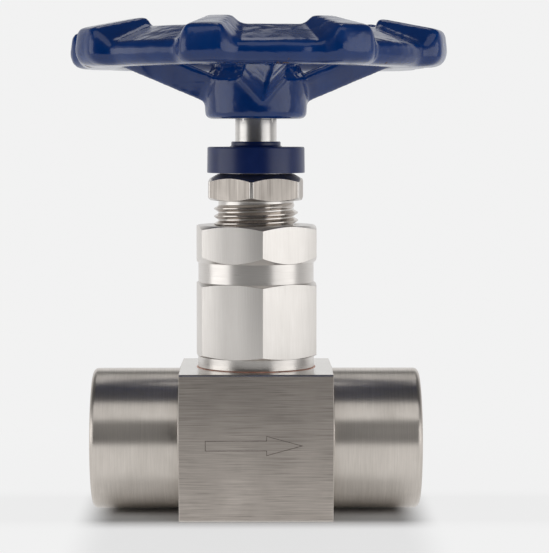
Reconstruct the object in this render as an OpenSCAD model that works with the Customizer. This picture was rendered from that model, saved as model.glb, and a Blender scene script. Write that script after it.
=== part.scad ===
/* [Block and ends] */
// Length of the block along the flow
block_length = 39.6; // [36:0.2:52]
// Width of the block across the flow
block_width = 42; // [40:0.5:56]
// Height of the block
block_height = 38; // [35:0.5:42]
// Chamfer on the long edges of the block
block_chamfer = 0.5; // [0.2:0.1:1.5]
// How far each turned shoulder falls back from the flow axis to the block's corner
shoulder_fall = 0.7; // [0:0.1:1.5]
// Length over both threaded ends
overall_length = 86; // [82:1:110]
// Step from the block's top and underside to the round ends
end_step = 0.5; // [0.2:0.1:3]
// Rounding of the outer edge of each end
end_rounding = 1.4; // [0.4:0.1:2.5]

/* [Ports and passages] */
// Diameter of each port at the roots of its thread
port_diameter = 20.6; // [16:0.1:24]
// Depth of the straight wall in each port
port_depth = 16; // [12:0.5:17]
// Chamfer at the mouth of each port
port_chamfer = 1; // [0.3:0.1:2]
// Angle of the drill point that ends each port
drill_angle = 118; // [100:1:150]
// Diameter of the drilled passages
passage_diameter = 6; // [4:0.2:7]
// Depth to which the passages run into the bottoms of the ports
passage_overlap = 2; // [1:0.5:4]
// Diameter of the hole through the seat
orifice_diameter = 5; // [3:0.2:5.6]
// Width of the conical seat round the hole
seat_width = 1.7; // [0.8:0.1:2]
// Diameter of the chamber over the seat
chamber_diameter = 15; // [14:0.2:17]
// Depth of the chamber floor below the flow axis
chamber_drop = 2; // [1:0.2:3]
// Height of the outlet passage over the flow axis
outlet_rise = 2; // [1:0.2:3]
// Depth below the flow axis at which the inlet passage meets the seat hole
inlet_drop = 10.5; // [9:0.5:12]

/* [Bonnet] */
// Thickness of the bonnet gasket
gasket_thickness = 0.3; // [0.2:0.1:1.5]
// Outer diameter of the bonnet gasket
gasket_diameter = 32.2; // [31:0.1:36]
// Diameter of the bonnet's thread in the block
spigot_diameter = 27; // [24:0.5:29]
// Length of the bonnet's thread in the block
spigot_length = 13; // [11:0.5:13.4]
// Diameter of the round collar under the lower hex
collar_diameter = 30.6; // [29.5:0.1:31.5]
// Height of the round collar
collar_height = 2.7; // [1:0.1:5]
// Width across the flats of both bonnet hexes
bonnet_hex = 30.7; // [30:0.1:38]
// Height of the lower hex
lower_hex_height = 19.5; // [14:0.5:30]
// Diameter of the round neck between the hexes
neck_diameter = 30.4; // [26:0.1:30.6]
// Height of the round neck
neck_height = 5.2; // [3:0.1:10]
// Height of the upper hex
upper_hex_height = 9.8; // [8:0.2:16]
// Height of the corner chamfer at both ends of the lower hex
lower_chamfer = 1.1; // [0.5:0.1:3]
// Height of the corner chamfer under the upper hex
neck_chamfer = 2.4; // [0.5:0.1:3]
// Height of the corner chamfer on top of the upper hex
top_chamfer = 1.4; // [0.5:0.1:3]
// Turn of a bonnet hex corner from the front of the valve
bonnet_corner = 5.8; // [0:0.1:60]

/* [Gland and packing] */
// Diameter of the gland nut's thread in the bonnet
gland_thread = 22.2; // [21:0.2:24]
// Length of gland thread that shows over the bonnet, with the relief under the hex
gland_exposed = 6.5; // [4:0.1:10]
// Height of the thread relief under the gland hex
gland_relief = 1.2; // [0.6:0.1:2]
// Width across the flats of the gland nut
gland_hex = 24; // [23:0.2:28]
// Height of the gland nut's hex
gland_hex_height = 6.9; // [5:0.1:10]
// Height of the corner chamfer on top of the gland hex
gland_top_chamfer = 1.4; // [0.6:0.1:2.2]
// Height of the corner chamfer under the gland hex
gland_low_chamfer = 1; // [0.6:0.1:2.2]
// Turn of a gland hex corner from the front of the valve
gland_corner = -5; // [-30:0.5:30]
// Diameter of the boss on the gland nut that carries the dust cap
gland_boss = 19; // [17:0.2:20]
// Diameter of the packing chamber
packing_diameter = 17; // [15:0.2:18]
// Height of one packing ring
packing_height = 2.4; // [1.8:0.1:2.6]
// Thickness of the washer under the packing
packing_washer_height = 1.5; // [0.8:0.1:2]
// Depth that the follower's sleeve reaches into the packing chamber
follower_reach = 2; // [1:0.1:2.4]
// Thickness of the follower's flange
follower_flange = 2; // [1.2:0.1:2.6]
// Travel that is left for tightening the follower
follower_spare = 0.5; // [0.2:0.1:1]

/* [Dust cap] */
// Outer diameter of the dust cap
cap_diameter = 25.7; // [23:0.1:28]
// Height of the cap's skirt
cap_height = 6.8; // [5:0.1:9]
// Thickness of the cap's top
cap_top_thickness = 1.8; // [1.2:0.1:2.6]
// Diameter of the raised ring round the stem
cap_ring_diameter = 13; // [12.4:0.1:16]
// Height of the raised ring
cap_ring_height = 1.4; // [0.8:0.1:3]

/* [Stem and plug] */
// Diameter of the stem through the packing
stem_diameter = 10.9; // [10:0.1:11.2]
// Outer diameter of the stem's thread
stem_thread = 12; // [11.6:0.1:12.6]
// Length of stem thread inside the bonnet's thread when closed
thread_grip = 8.7; // [7:0.1:9]
// Travel of the stem from closed to open
stem_lift = 6; // [3:0.5:6]
// Diameter of the swivelling plug
plug_diameter = 12.6; // [12:0.1:13]
// Height of the plug's round body
plug_height = 7.6; // [7.2:0.1:8]
// Height of the plug's body over the chamber floor when closed
plug_stand = 1.4; // [1:0.1:2]
// Thickness of the plug under the ball
plug_floor = 2.2; // [1.6:0.1:2.4]
// Length of the stem's neck over the plug
neck_length = 3; // [2:0.1:3.5]
// Spare height over the plug when the valve is open
recess_spare = 1; // [0.5:0.1:1.5]
// Length of the plain guide bore under the packing
guide_length = 2.4; // [1.5:0.1:3]
// Diameter of the stem's foot in the plug
foot_diameter = 8; // [7:0.1:8.4]
// Diameter of the ball under the foot
ball_diameter = 2.8; // [2:0.1:3]
// Section of the open ring that holds the foot
clip_section = 1; // [0.8:0.05:1.2]
// Width of the gap in that ring
clip_mouth = 2; // [1:0.1:3]
// Stem length that shows between cap and hub when closed
stem_exposed = 5.9; // [5:0.1:12]
// Width of the stem's square end
square_width = 8.2; // [7:0.1:8.6]
// Diameter of the threaded end of the stem
stud_diameter = 8; // [6:0.5:8]

/* [Handwheel] */
// Diameter over the raised grips
wheel_diameter = 100.6; // [90:1:130]
// How far the rim draws in between two grips
wheel_scallop = 3.6; // [0:0.2:5]
// Inner diameter of the rim
rim_inner = 66; // [58:1:72]
// Height of the rim's underside over the underside of the hub
rim_rise = 13.2; // [11:0.1:15]
// Height of a grip at its inner edge
grip_inner_height = 12.7; // [11.5:0.1:16]
// Height of a grip at its outer edge
grip_outer_height = 9.4; // [6:0.1:11]
// Height of the inner edge between two grips
valley_inner_height = 10.6; // [9:0.1:11.4]
// Height of the outer band between two grips
valley_outer_height = 6.2; // [5.2:0.1:7.5]
// Number of grips
grip_count = 8; // [6:1:10]
// Angle of a grip's flat top, from its middle to one side
grip_flat_angle = 4.5; // [2:0.5:6]
// Angle of a grip's hollow flank
grip_flank_angle = 9; // [6:0.5:12]
// Angle over which a grip stands out in plan, from its middle to one side
bulge_angle = 3.5; // [2:0.5:6]
// Angle over which the rim draws in beside a grip
bulge_flank_angle = 7; // [5:0.5:12]
// Lean of a grip's outer face towards the hub
grip_lean = 1.8; // [0:0.1:2.5]
// Rounding of the rim's upper edges
rim_rounding = 1.5; // [0.6:0.1:2]
// Rounding of the rim's lower outer edge
underside_rounding = 3.3; // [1.5:0.1:4.2]
// Rounding of the rim's lower inner edge
inner_rounding = 4; // [1.5:0.1:4.6]
// Number of spokes
spoke_count = 4; // [3:1:5]
// Width of a spoke's flange
spoke_width = 11.2; // [8:0.2:13]
// Thickness of a spoke's flange
spoke_flange = 2; // [1.4:0.1:3]
// Depth of the keel under a spoke's flange
keel_depth = 6; // [4:0.1:6.6]
// Width of the keel's lower edge
keel_width = 0.8; // [0.4:0.1:2]
// Rise of a spoke for each millimetre outwards
spoke_slope = 0.42; // [0.36:0.01:0.45]
// Diameter of the hub
hub_diameter = 27.4; // [24:0.2:32]
// Height of the hub's round wall
hub_wall_height = 10.6; // [9.4:0.1:11]
// Full height of the hub
hub_height = 14.7; // [14:0.1:16]
// Diameter of the hub's top face
hub_top_diameter = 23; // [18:0.2:23.6]
// Widening of a spoke to each side where it meets the rim
spoke_flare = 2.5; // [0.5:0.1:4]
// Length of spoke over which it widens
spoke_flare_length = 4.8; // [3:0.1:8]
// Depth by which a spoke runs into the rim and the hub
spoke_bite = 2; // [1.8:0.1:2.6]
// Turn of the spokes from the front of the valve
wheel_turn = 7.2; // [0:0.1:45]

/* [Wheel fastening] */
// Thickness of the flat washer
washer_thickness = 1.6; // [1:0.1:2]
// Diameter of the flat washer
washer_diameter = 16; // [14:0.5:17]
// Thickness of the split washer
lock_thickness = 1.8; // [1.2:0.1:2]
// Diameter of the split washer
lock_diameter = 12.8; // [12:0.1:13.4]
// Width of the cut through the split washer
lock_cut = 1.2; // [0.6:0.1:2]
// Width across the flats of the wheel nut
nut_hex = 13; // [13:0.1:14]
// Height of the wheel nut
nut_height = 6.5; // [4:0.1:6.5]
// Height of the corner chamfer on top of the wheel nut
nut_chamfer = 0.9; // [0.4:0.1:1.5]
// Length of stud that stands over the wheel nut
stud_spare = 0.5; // [0.2:0.1:1]

/* [Hidden] */
$fn = 96;

// Radial gap of threads and of faces that slide on each other
fit_gap = 0.05;
// Gap of parts that pass each other freely
free_gap = 0.3;
// Depth by which a cut runs past the face that it opens
past = 1;
// Number of packing rings
packing_count = 5;

steel = [0.66, 0.65, 0.63];
bright_steel = [0.78, 0.77, 0.75];
copper = [0.62, 0.26, 0.16];
graphite = [0.16, 0.16, 0.17];
navy_paint = [0.03, 0.06, 0.26];
navy_plastic = [0.05, 0.06, 0.25];

flow_height = block_height / 2;
end_diameter = block_height - 2 * end_step;
chamber_floor = flow_height - chamber_drop;
orifice_radius = orifice_diameter / 2;
seat_radius = orifice_radius + seat_width;
stem_radius = stem_diameter / 2;

// Heights of the bonnet, from the block upwards
gasket_bottom = block_height;
collar_bottom = gasket_bottom + gasket_thickness;
spigot_bottom = collar_bottom - spigot_length;
lower_hex_bottom = collar_bottom + collar_height;
neck_bottom = lower_hex_bottom + lower_hex_height;
upper_hex_bottom = neck_bottom + neck_height;
bonnet_top = upper_hex_bottom + upper_hex_height;

// Heights of the plug and of the stem's foot
plug_bottom = chamber_floor + plug_stand;
plug_top = plug_bottom + plug_height;
pocket_floor = plug_bottom + plug_floor;
ball_centre = pocket_floor + fit_gap + ball_diameter / 2;
foot_bottom = ball_centre + ball_diameter / 2 + fit_gap;
clip_bottom = (foot_bottom + plug_top) / 2 - clip_section / 2;
clip_groove = foot_diameter / 2 - clip_section * 0.6;
clip_outer = foot_diameter / 2 + clip_section * 0.6;

// Heights inside the bonnet
recess_top = plug_top + stem_lift + recess_spare;
thread_bottom = plug_top + neck_length;
thread_top = recess_top + thread_grip;
backseat_bottom = thread_top + stem_lift + free_gap;
backseat_top = backseat_bottom + (stem_thread - stem_diameter) / 2;
packing_floor = backseat_top + guide_length;
packing_bottom = packing_floor + packing_washer_height;
packing_top = packing_bottom + packing_count * packing_height;
gland_bore_bottom = packing_top + follower_reach;
follower_flange_bottom = gland_bore_bottom + follower_spare;
gland_bottom = follower_flange_bottom + follower_flange;

// Heights of the gland nut, the cap and the wheel
gland_hex_bottom = bonnet_top + gland_exposed;
gland_hex_top = gland_hex_bottom + gland_hex_height;
cap_bottom = gland_hex_top + free_gap;
cap_shoulder = cap_bottom + cap_height;
cap_top = cap_shoulder + cap_ring_height;
gland_top = cap_shoulder - cap_top_thickness - fit_gap;
hub_bottom = cap_top + stem_exposed;
hub_shoulder = hub_bottom + hub_wall_height;
hub_top = hub_bottom + hub_height;
rim_bottom = hub_bottom + rim_rise;
washer_top = hub_top + washer_thickness;
lock_top = washer_top + lock_thickness;
nut_top = lock_top + nut_height;
square_top = hub_top - stud_spare;
stem_top = nut_top + stud_spare;

// Points of a rounded corner, from one angle to another
function arc(x, y, radius, from, to, steps = 4) =
    [for (i = [0:steps]) let (a = from + (to - from) * i / steps)
        [x + radius * cos(a), y + radius * sin(a)]];

// Outline, half width by height, that trims the corners of a hexagon at both ends
function hex_trim(flats, height, low, high) =
    let (inner = flats / 2 - 0.1, outer = flats / 2 / cos(30) + 0.2)
    concat([[0, 0]],
           low > 0 ? [[inner, 0], [outer, low]] : [[outer, 0]],
           high > 0 ? [[outer, height - high], [inner, height]] : [[outer, height]],
           [[0, height]]);

module ring(inner, outer, height) {
    difference() {
        cylinder(r = outer, h = height);
        translate([0, 0, -past]) cylinder(r = inner, h = height + 2 * past);
    }
}

module trimmed_hex(flats, height, low, high) {
    intersection() {
        cylinder(r = flats / 2 / cos(30), h = height, $fn = 6);
        rotate_extrude() polygon(hex_trim(flats, height, low, high));
    }
}

// Turns a corner of a hexagon to the given angle from the front
module hex_turn(angle) {
    rotate([0, 0, angle - 90]) children();
}

module block() {
    half_y = block_width / 2;
    corner_radius = norm([half_y, block_height / 2]);
    top_x = block_length / 2 + shoulder_fall;
    intersection() {
        translate([-top_x, 0, 0]) rotate([90, 0, 90]) linear_extrude(2 * top_x)
            polygon([[-half_y + block_chamfer, 0], [half_y - block_chamfer, 0], [half_y, block_chamfer],
                     [half_y, block_height - block_chamfer], [half_y - block_chamfer, block_height],
                     [-half_y + block_chamfer, block_height], [-half_y, block_height - block_chamfer],
                     [-half_y, block_chamfer]]);
        translate([0, 0, flow_height]) rotate([0, 90, 0]) rotate_extrude()
            polygon([[0, -top_x], [corner_radius + past, -block_length / 2],
                     [corner_radius + past, block_length / 2], [0, top_x]]);
    }
}

module barrel() {
    half = overall_length / 2;
    radius = end_diameter / 2;
    translate([0, 0, flow_height]) rotate([0, 90, 0]) rotate_extrude()
        polygon(concat([[0, -half]],
                       arc(radius - end_rounding, end_rounding - half, end_rounding, -90, 0),
                       arc(radius - end_rounding, half - end_rounding, end_rounding, 0, 90),
                       [[0, half]]));
}

// Cutter of one port, from its mouth inwards along +Z
module port_cut() {
    radius = port_diameter / 2;
    wall_end = port_chamfer + port_depth;
    rotate_extrude() polygon([[0, -past], [radius + port_chamfer + past, -past], [radius, port_chamfer],
                              [radius, wall_end], [0, wall_end + radius / tan(drill_angle / 2)]]);
}

module seat_cut() {
    foot = flow_height - inlet_drop - 1;
    rotate_extrude() polygon([[0, foot], [orifice_radius, foot],
                              [orifice_radius, chamber_floor - seat_width],
                              [seat_radius, chamber_floor], [chamber_diameter / 2, chamber_floor],
                              [chamber_diameter / 2, spigot_bottom - 0.5],
                              [spigot_diameter / 2 + fit_gap, spigot_bottom - 0.5],
                              [spigot_diameter / 2 + fit_gap, block_height + past],
                              [0, block_height + past]]);
}

module inlet_passage() {
    port_end = overall_length / 2 - port_chamfer - port_depth - passage_overlap;
    run = norm([port_end, inlet_drop]);
    translate([0, 0, flow_height - inlet_drop]) rotate([0, -atan2(port_end, inlet_drop), 0])
        cylinder(d = passage_diameter, h = run);
}

module outlet_passage() {
    port_end = overall_length / 2 - port_chamfer - port_depth - passage_overlap;
    translate([0, 0, flow_height + outlet_rise]) rotate([0, 90, 0])
        cylinder(d = passage_diameter, h = port_end);
}

module body() {
    color(steel) difference() {
        union() {
            block();
            barrel();
        }
        translate([-overall_length / 2, 0, flow_height]) rotate([0, 90, 0]) port_cut();
        translate([overall_length / 2, 0, flow_height]) rotate([0, -90, 0]) port_cut();
        seat_cut();
        inlet_passage();
        outlet_passage();
    }
}

module bonnet_gasket() {
    color(copper) translate([0, 0, gasket_bottom])
        ring(spigot_diameter / 2 + 2 * fit_gap, gasket_diameter / 2, gasket_thickness);
}

// Everything that is bored out of the bonnet
module bonnet_cut() {
    thread = stem_thread / 2 + fit_gap;
    guide = stem_radius + fit_gap;
    recess = plug_diameter / 2 + free_gap;
    gland = gland_thread / 2 + fit_gap;
    rotate_extrude() polygon([[0, spigot_bottom - past], [recess, spigot_bottom - past],
                              [recess, recess_top], [thread, recess_top],
                              [thread, backseat_bottom], [guide, backseat_top],
                              [guide, packing_floor], [packing_diameter / 2, packing_floor],
                              [packing_diameter / 2, gland_bore_bottom], [gland, gland_bore_bottom],
                              [gland, bonnet_top - 0.6], [gland + 0.6, bonnet_top],
                              [gland + 0.6, bonnet_top + past], [0, bonnet_top + past]]);
}

module bonnet() {
    spigot_radius = spigot_diameter / 2;
    color(steel) difference() {
        union() {
            rotate_extrude() polygon([[0, spigot_bottom], [spigot_radius - 1, spigot_bottom],
                                      [spigot_radius, spigot_bottom + 1], [spigot_radius, collar_bottom],
                                      [collar_diameter / 2, collar_bottom],
                                      [collar_diameter / 2, lower_hex_bottom + past],
                                      [0, lower_hex_bottom + past]]);
            hex_turn(bonnet_corner) translate([0, 0, lower_hex_bottom])
                trimmed_hex(bonnet_hex, lower_hex_height, lower_chamfer, lower_chamfer);
            translate([0, 0, neck_bottom - past]) cylinder(d = neck_diameter, h = neck_height + 2 * past);
            hex_turn(bonnet_corner) translate([0, 0, upper_hex_bottom])
                trimmed_hex(bonnet_hex, upper_hex_height, neck_chamfer, top_chamfer);
        }
        bonnet_cut();
    }
}

module packing_washer() {
    color(bright_steel) translate([0, 0, packing_floor])
        ring(stem_radius + fit_gap, packing_diameter / 2 - fit_gap, packing_washer_height);
}

module packing_ring(number) {
    color(graphite) translate([0, 0, packing_bottom + number * packing_height])
        ring(stem_radius + fit_gap, packing_diameter / 2 - fit_gap, packing_height);
}

module gland_follower() {
    inner = stem_radius + fit_gap;
    sleeve = packing_diameter / 2 - fit_gap;
    flange = gland_thread / 2 - 0.5;
    color(bright_steel) rotate_extrude()
        polygon([[inner, packing_top], [sleeve, packing_top], [sleeve, follower_flange_bottom],
                 [flange, follower_flange_bottom], [flange, gland_bottom], [inner, gland_bottom]]);
}

module gland_nut() {
    bore = stem_radius + fit_gap;
    thread = gland_thread / 2;
    relief = thread - 1.2;
    boss = gland_boss / 2;
    relief_bottom = gland_hex_bottom - gland_relief;
    color(steel) difference() {
        union() {
            rotate_extrude() polygon([[0, gland_bottom], [thread - 1, gland_bottom],
                                      [thread, gland_bottom + 1], [thread, relief_bottom - 0.6],
                                      [relief, relief_bottom],
                                      [relief, gland_hex_bottom + past], [0, gland_hex_bottom + past]]);
            hex_turn(gland_corner) translate([0, 0, gland_hex_bottom])
                trimmed_hex(gland_hex, gland_hex_height, gland_low_chamfer, gland_top_chamfer);
            rotate_extrude() polygon([[0, gland_hex_top - past], [boss, gland_hex_top - past],
                                      [boss, gland_top - 0.4], [boss - 0.4, gland_top], [0, gland_top]]);
        }
        translate([0, 0, gland_bottom - past]) cylinder(r = bore, h = gland_top - gland_bottom + 2 * past);
    }
}

module dust_cap() {
    outer = cap_diameter / 2;
    inner = gland_boss / 2 + fit_gap;
    hole = stem_radius + 0.15;
    raised = cap_ring_diameter / 2;
    color(navy_plastic) rotate_extrude()
        polygon(concat([[inner, cap_bottom], [outer - 0.2, cap_bottom], [outer, cap_bottom + 0.2]],
                       arc(outer - 0.6, cap_shoulder - 0.6, 0.6, 0, 90),
                       [[raised, cap_shoulder]],
                       arc(raised - 0.3, cap_top - 0.3, 0.3, 0, 90),
                       [[hole, cap_top], [hole, gland_top + fit_gap], [inner, gland_top + fit_gap]]));
}

module plug() {
    seat_gap = fit_gap * sqrt(2);
    tip_radius = orifice_radius * 0.4;
    tip_height = chamber_floor - seat_width + seat_gap - orifice_radius + tip_radius;
    cone_radius = seat_radius + plug_bottom - chamber_floor - seat_gap;
    outer = plug_diameter / 2;
    pocket = foot_diameter / 2 + fit_gap;
    groove = clip_outer + fit_gap;
    color(bright_steel) rotate_extrude()
        polygon([[0, tip_height], [tip_radius, tip_height], [cone_radius, plug_bottom],
                 [outer - 0.3, plug_bottom], [outer, plug_bottom + 0.3], [outer, plug_top - 0.5],
                 [outer - 0.5, plug_top], [pocket, plug_top], [pocket, clip_bottom + clip_section + fit_gap],
                 [groove, clip_bottom + clip_section + fit_gap], [groove, clip_bottom - fit_gap],
                 [pocket, clip_bottom - fit_gap], [pocket, pocket_floor], [0, pocket_floor]]);
}

// Open ring; the gap lets it close while it goes in
module plug_clip() {
    color(bright_steel) difference() {
        translate([0, 0, clip_bottom]) ring(clip_groove + fit_gap, clip_outer, clip_section);
        translate([0, -clip_mouth / 2, clip_bottom - past])
            cube([clip_outer + past, clip_mouth, clip_section + 2 * past]);
    }
}

module thrust_ball() {
    color(bright_steel) translate([0, 0, ball_centre]) sphere(d = ball_diameter);
}

module stem() {
    foot = foot_diameter / 2;
    thread = stem_thread / 2;
    neck = foot - 0.4;
    stud = stud_diameter / 2;
    square_length = square_top - hub_bottom + past;
    groove_low = clip_bottom - 2 * fit_gap;
    groove_high = clip_bottom + clip_section + 2 * fit_gap;
    color(bright_steel) union() {
        rotate_extrude() polygon([[0, foot_bottom], [foot - 0.3, foot_bottom], [foot, foot_bottom + 0.3],
                                  [foot, groove_low], [clip_groove, groove_low], [clip_groove, groove_high],
                                  [foot, groove_high], [foot, plug_top + 0.2], [neck, plug_top + 0.6],
                                  [neck, thread_bottom], [thread - 1, thread_bottom],
                                  [thread, thread_bottom + 1], [thread, thread_top],
                                  [stem_radius, thread_top + thread - stem_radius],
                                  [stem_radius, hub_bottom], [0, hub_bottom]]);
        intersection() {
            translate([0, 0, hub_bottom - past]) cylinder(r = stem_radius, h = square_length);
            hex_turn(wheel_turn) translate([-square_width / 2, -square_width / 2, hub_bottom - past])
                cube([square_width, square_width, square_length]);
        }
        rotate_extrude() polygon([[0, square_top - past], [stud, square_top - past], [stud, stem_top - 0.6],
                                  [stud - 0.6, stem_top], [0, stem_top]]);
    }
}

// Share of a grip at an angle from its middle: 1 on its top, 0 in the valley
function grip_share(angle) =
    let (run = (abs(angle) - grip_flat_angle) / grip_flank_angle)
    run <= 0 ? 1 : run >= 1 ? 0 : pow(1 - run, 2);

// Angle from the nearest grip's middle, for an angle from a spoke
function from_grip(angle) =
    let (pitch = 360 / grip_count)
    angle - pitch * floor(angle / pitch) - pitch / 2;

// Share by which the rim stands out in plan at an angle from a grip's middle
function bulge_share(angle) =
    let (run = min(1, max(0, (abs(angle) - bulge_angle) / bulge_flank_angle)))
    1 - run * run * (3 - 2 * run);

// Rounding of an edge of the rim, as points that go round a corner in equal steps
function edge(x, z, size, turn, steps) =
    [for (i = [0:steps]) let (a = 90 * i / steps)
     [x + size * (cos(turn + a) - sign(cos(turn + 45))), z + size * (sin(turn + a) - sign(sin(turn + 45)))]];

// Section of the rim at an angle from a spoke, as points of radius and height
function rim_section(angle) =
    let (share = grip_share(from_grip(angle)),
         outer = wheel_diameter / 2 - wheel_scallop * (1 - bulge_share(from_grip(angle))),
         inner = rim_inner / 2,
         high_in = valley_inner_height + (grip_inner_height - valley_inner_height) * share,
         high_out = valley_outer_height + (grip_outer_height - valley_outer_height) * share)
    concat(edge(inner, 0, inner_rounding, 180, 4), edge(outer, 0, underside_rounding, 270, 4),
           edge(outer - grip_lean * share, high_out, rim_rounding, 0, 2),
           edge(inner, high_in, rim_rounding * 0.7, 90, 2));

module rim() {
    sections = 120;
    corners = 16;
    points = [for (i = [0:sections - 1]) let (a = i * 360 / sections)
              for (p = rim_section(a)) [p[0] * cos(a), p[0] * sin(a), p[1]]];
    faces = [for (i = [0:sections - 1]) for (j = [0:corners - 1])
             let (here = i * corners, next = (i + 1) % sections * corners, k = (j + 1) % corners)
             for (triangle = [[here + j, here + k, next + k], [here + j, next + k, next + j]]) triangle];
    polyhedron(points, faces);
}

// Section of a spoke, a flange over a keel that narrows downwards, shrunk by an inset
module spoke_slice(x, z, half_width, inset) {
    deep = keel_depth + spoke_flange;
    translate([x, 0, z]) rotate([90, 0, 90]) linear_extrude(0.5)
        polygon([[-half_width, -inset], [-half_width, -spoke_flange], [-keel_width / 2, inset - deep],
                 [keel_width / 2, inset - deep], [half_width, -spoke_flange], [half_width, -inset]]);
}

// One spoke along +X, which flares where it meets the rim
module spoke() {
    start = hub_diameter / 2 - spoke_bite;
    end = rim_inner / 2 + spoke_bite;
    flare = spoke_flare_length;
    half = spoke_width / 2;
    top = hub_wall_height + 0.9;
    hull() {
        spoke_slice(start, top, half, 0);
        spoke_slice(end, top + spoke_slope * (end - start), half, 0);
    }
    hull() {
        spoke_slice(end - flare, top + spoke_slope * (end - flare - start), half - 0.4, 0.4);
        spoke_slice(end, top + spoke_slope * (end - start), half + spoke_flare, 0.2);
    }
}

module hub() {
    radius = hub_diameter / 2;
    top = hub_top_diameter / 2;
    rotate_extrude($fn = 60) polygon(concat([[0, 0]], arc(radius - 1.4, 1.2, 1.2, -90, 0),
                                            [[radius, hub_wall_height - 0.6],
                                             [radius - 0.6, hub_wall_height],
                                             [top + 0.6, hub_wall_height + 0.8], [top, hub_height - 0.6],
                                             [top - 0.6, hub_height], [0, hub_height]]));
}

module handwheel() {
    hole = square_width + 2 * fit_gap;
    color(navy_paint) translate([0, 0, hub_bottom]) hex_turn(wheel_turn) difference() {
        union() {
            translate([0, 0, rim_rise]) rim();
            hub();
            for (i = [0:spoke_count - 1]) rotate([0, 0, i * 360 / spoke_count]) spoke();
        }
        translate([-hole / 2, -hole / 2, -past]) cube([hole, hole, hub_height + 2 * past]);
    }
}

module wheel_washer() {
    color(bright_steel) translate([0, 0, hub_top])
        ring(stud_diameter / 2 + 0.2, washer_diameter / 2, washer_thickness);
}

// Spring washer, cut through at a slant
module wheel_lock_washer() {
    color(bright_steel) translate([0, 0, washer_top]) difference() {
        ring(stud_diameter / 2 + 0.1, lock_diameter / 2, lock_thickness);
        translate([0, 0, lock_thickness / 2]) rotate([30, 0, 0])
            translate([0, -lock_cut / 2, -lock_thickness * 2])
                cube([lock_diameter, lock_cut, lock_thickness * 4]);
    }
}

module wheel_nut() {
    color(bright_steel) translate([0, 0, lock_top]) difference() {
        trimmed_hex(nut_hex, nut_height, 0, nut_chamfer);
        translate([0, 0, -past]) cylinder(r = stud_diameter / 2 + fit_gap, h = nut_height + 2 * past);
    }
}

body();
bonnet_gasket();
bonnet();
packing_washer();
packing_ring(0);  // packing_ring_1
packing_ring(1);  // packing_ring_2
packing_ring(2);  // packing_ring_3
packing_ring(3);  // packing_ring_4
packing_ring(4);  // packing_ring_5
gland_follower();
gland_nut();
dust_cap();
plug();
plug_clip();
thrust_ball();
stem();
handwheel();
wheel_washer();
wheel_lock_washer();
wheel_nut();
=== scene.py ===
"""Looks of a threaded globe valve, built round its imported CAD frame.

The valve stands on the underside of its block. Its flow runs along X and its stem rises
along Z. Sizes are in millimetres until a piece is finished, when its mesh is scaled to metres.
"""

import logging
import math
from dataclasses import dataclass, field
from enum import Enum
from typing import Callable, Iterable, Optional, Union

import bmesh
import bpy
from bmesh.types import BMesh, BMFace, BMVert
from bpy.types import (Material, Node, NodeInputs, NodeOutputs, NodeSocket, NodeTree, Object,
                       ShaderNodeTree)
from mathutils import Euler, Matrix, Vector


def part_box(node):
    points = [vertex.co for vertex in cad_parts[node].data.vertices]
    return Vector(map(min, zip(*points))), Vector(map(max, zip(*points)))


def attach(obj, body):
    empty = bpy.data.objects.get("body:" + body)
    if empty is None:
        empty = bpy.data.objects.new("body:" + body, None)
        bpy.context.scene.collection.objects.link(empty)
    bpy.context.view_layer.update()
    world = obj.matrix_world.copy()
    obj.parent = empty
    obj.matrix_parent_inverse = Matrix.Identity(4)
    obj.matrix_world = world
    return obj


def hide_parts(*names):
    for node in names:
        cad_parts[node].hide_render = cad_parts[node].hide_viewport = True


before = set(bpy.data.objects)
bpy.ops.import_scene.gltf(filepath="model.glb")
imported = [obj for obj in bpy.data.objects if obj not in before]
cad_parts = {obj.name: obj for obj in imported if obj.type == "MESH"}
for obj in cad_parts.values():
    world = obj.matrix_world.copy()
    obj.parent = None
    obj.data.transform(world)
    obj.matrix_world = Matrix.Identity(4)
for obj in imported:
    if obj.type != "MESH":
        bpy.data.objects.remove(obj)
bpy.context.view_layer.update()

LOG = logging.getLogger("valve")
MM = 0.001
FULL_TURN = math.tau
WELD = 1e-4
SHARP_EDGE = 28

Pair = tuple[float, float]
Point = Pair
Corner = tuple[float, float, float]
Colour = tuple[float, float, float]
Ramp = tuple[float, float, float, float]
Input = Union[NodeSocket, float, tuple]


class Body(Enum):
    """The moving bodies of the valve."""

    VALVE = "valve_body"
    STEM = "stem_and_wheel"


class Lay(Enum):
    """Direction of the tool marks on a steel surface."""

    TURNED_X = "turned about the flow axis"
    TURNED_Z = "turned about the stem"
    BRUSHED_X = "brushed along the flow"
    DRAWN_Z = "drawn along the stem"


class Cut(Enum):
    """What a carving tool does to a shape."""

    TAKE_AWAY = "DIFFERENCE"
    KEEP_COMMON = "INTERSECT"
    ADD = "UNION"


def span(node: str) -> tuple[Vector, Vector]:
    """Gives the lowest and the highest corner of a CAD node's box, in millimetres."""
    low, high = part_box(node)
    return low / MM, high / MM


# Shapes


def rotate(shape: BMesh, angle: float, axis: str = "Z") -> None:
    """Turns a shape about an axis through the origin, by an angle in radians."""
    bmesh.ops.rotate(shape, verts=shape.verts, cent=(0, 0, 0), matrix=Matrix.Rotation(angle, 3, axis))


def move(shape: BMesh, x: float = 0, y: float = 0, z: float = 0) -> None:
    """Moves a shape."""
    bmesh.ops.translate(shape, verts=shape.verts, vec=(x, y, z))


def radius_of(vert: BMVert) -> float:
    """Gives a vertex's distance from the Z axis."""
    return math.hypot(vert.co.x, vert.co.y)


def widen(vert: BMVert, share: float) -> None:
    """Moves a vertex from or towards the Z axis."""
    vert.co.x *= share
    vert.co.y *= share


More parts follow.
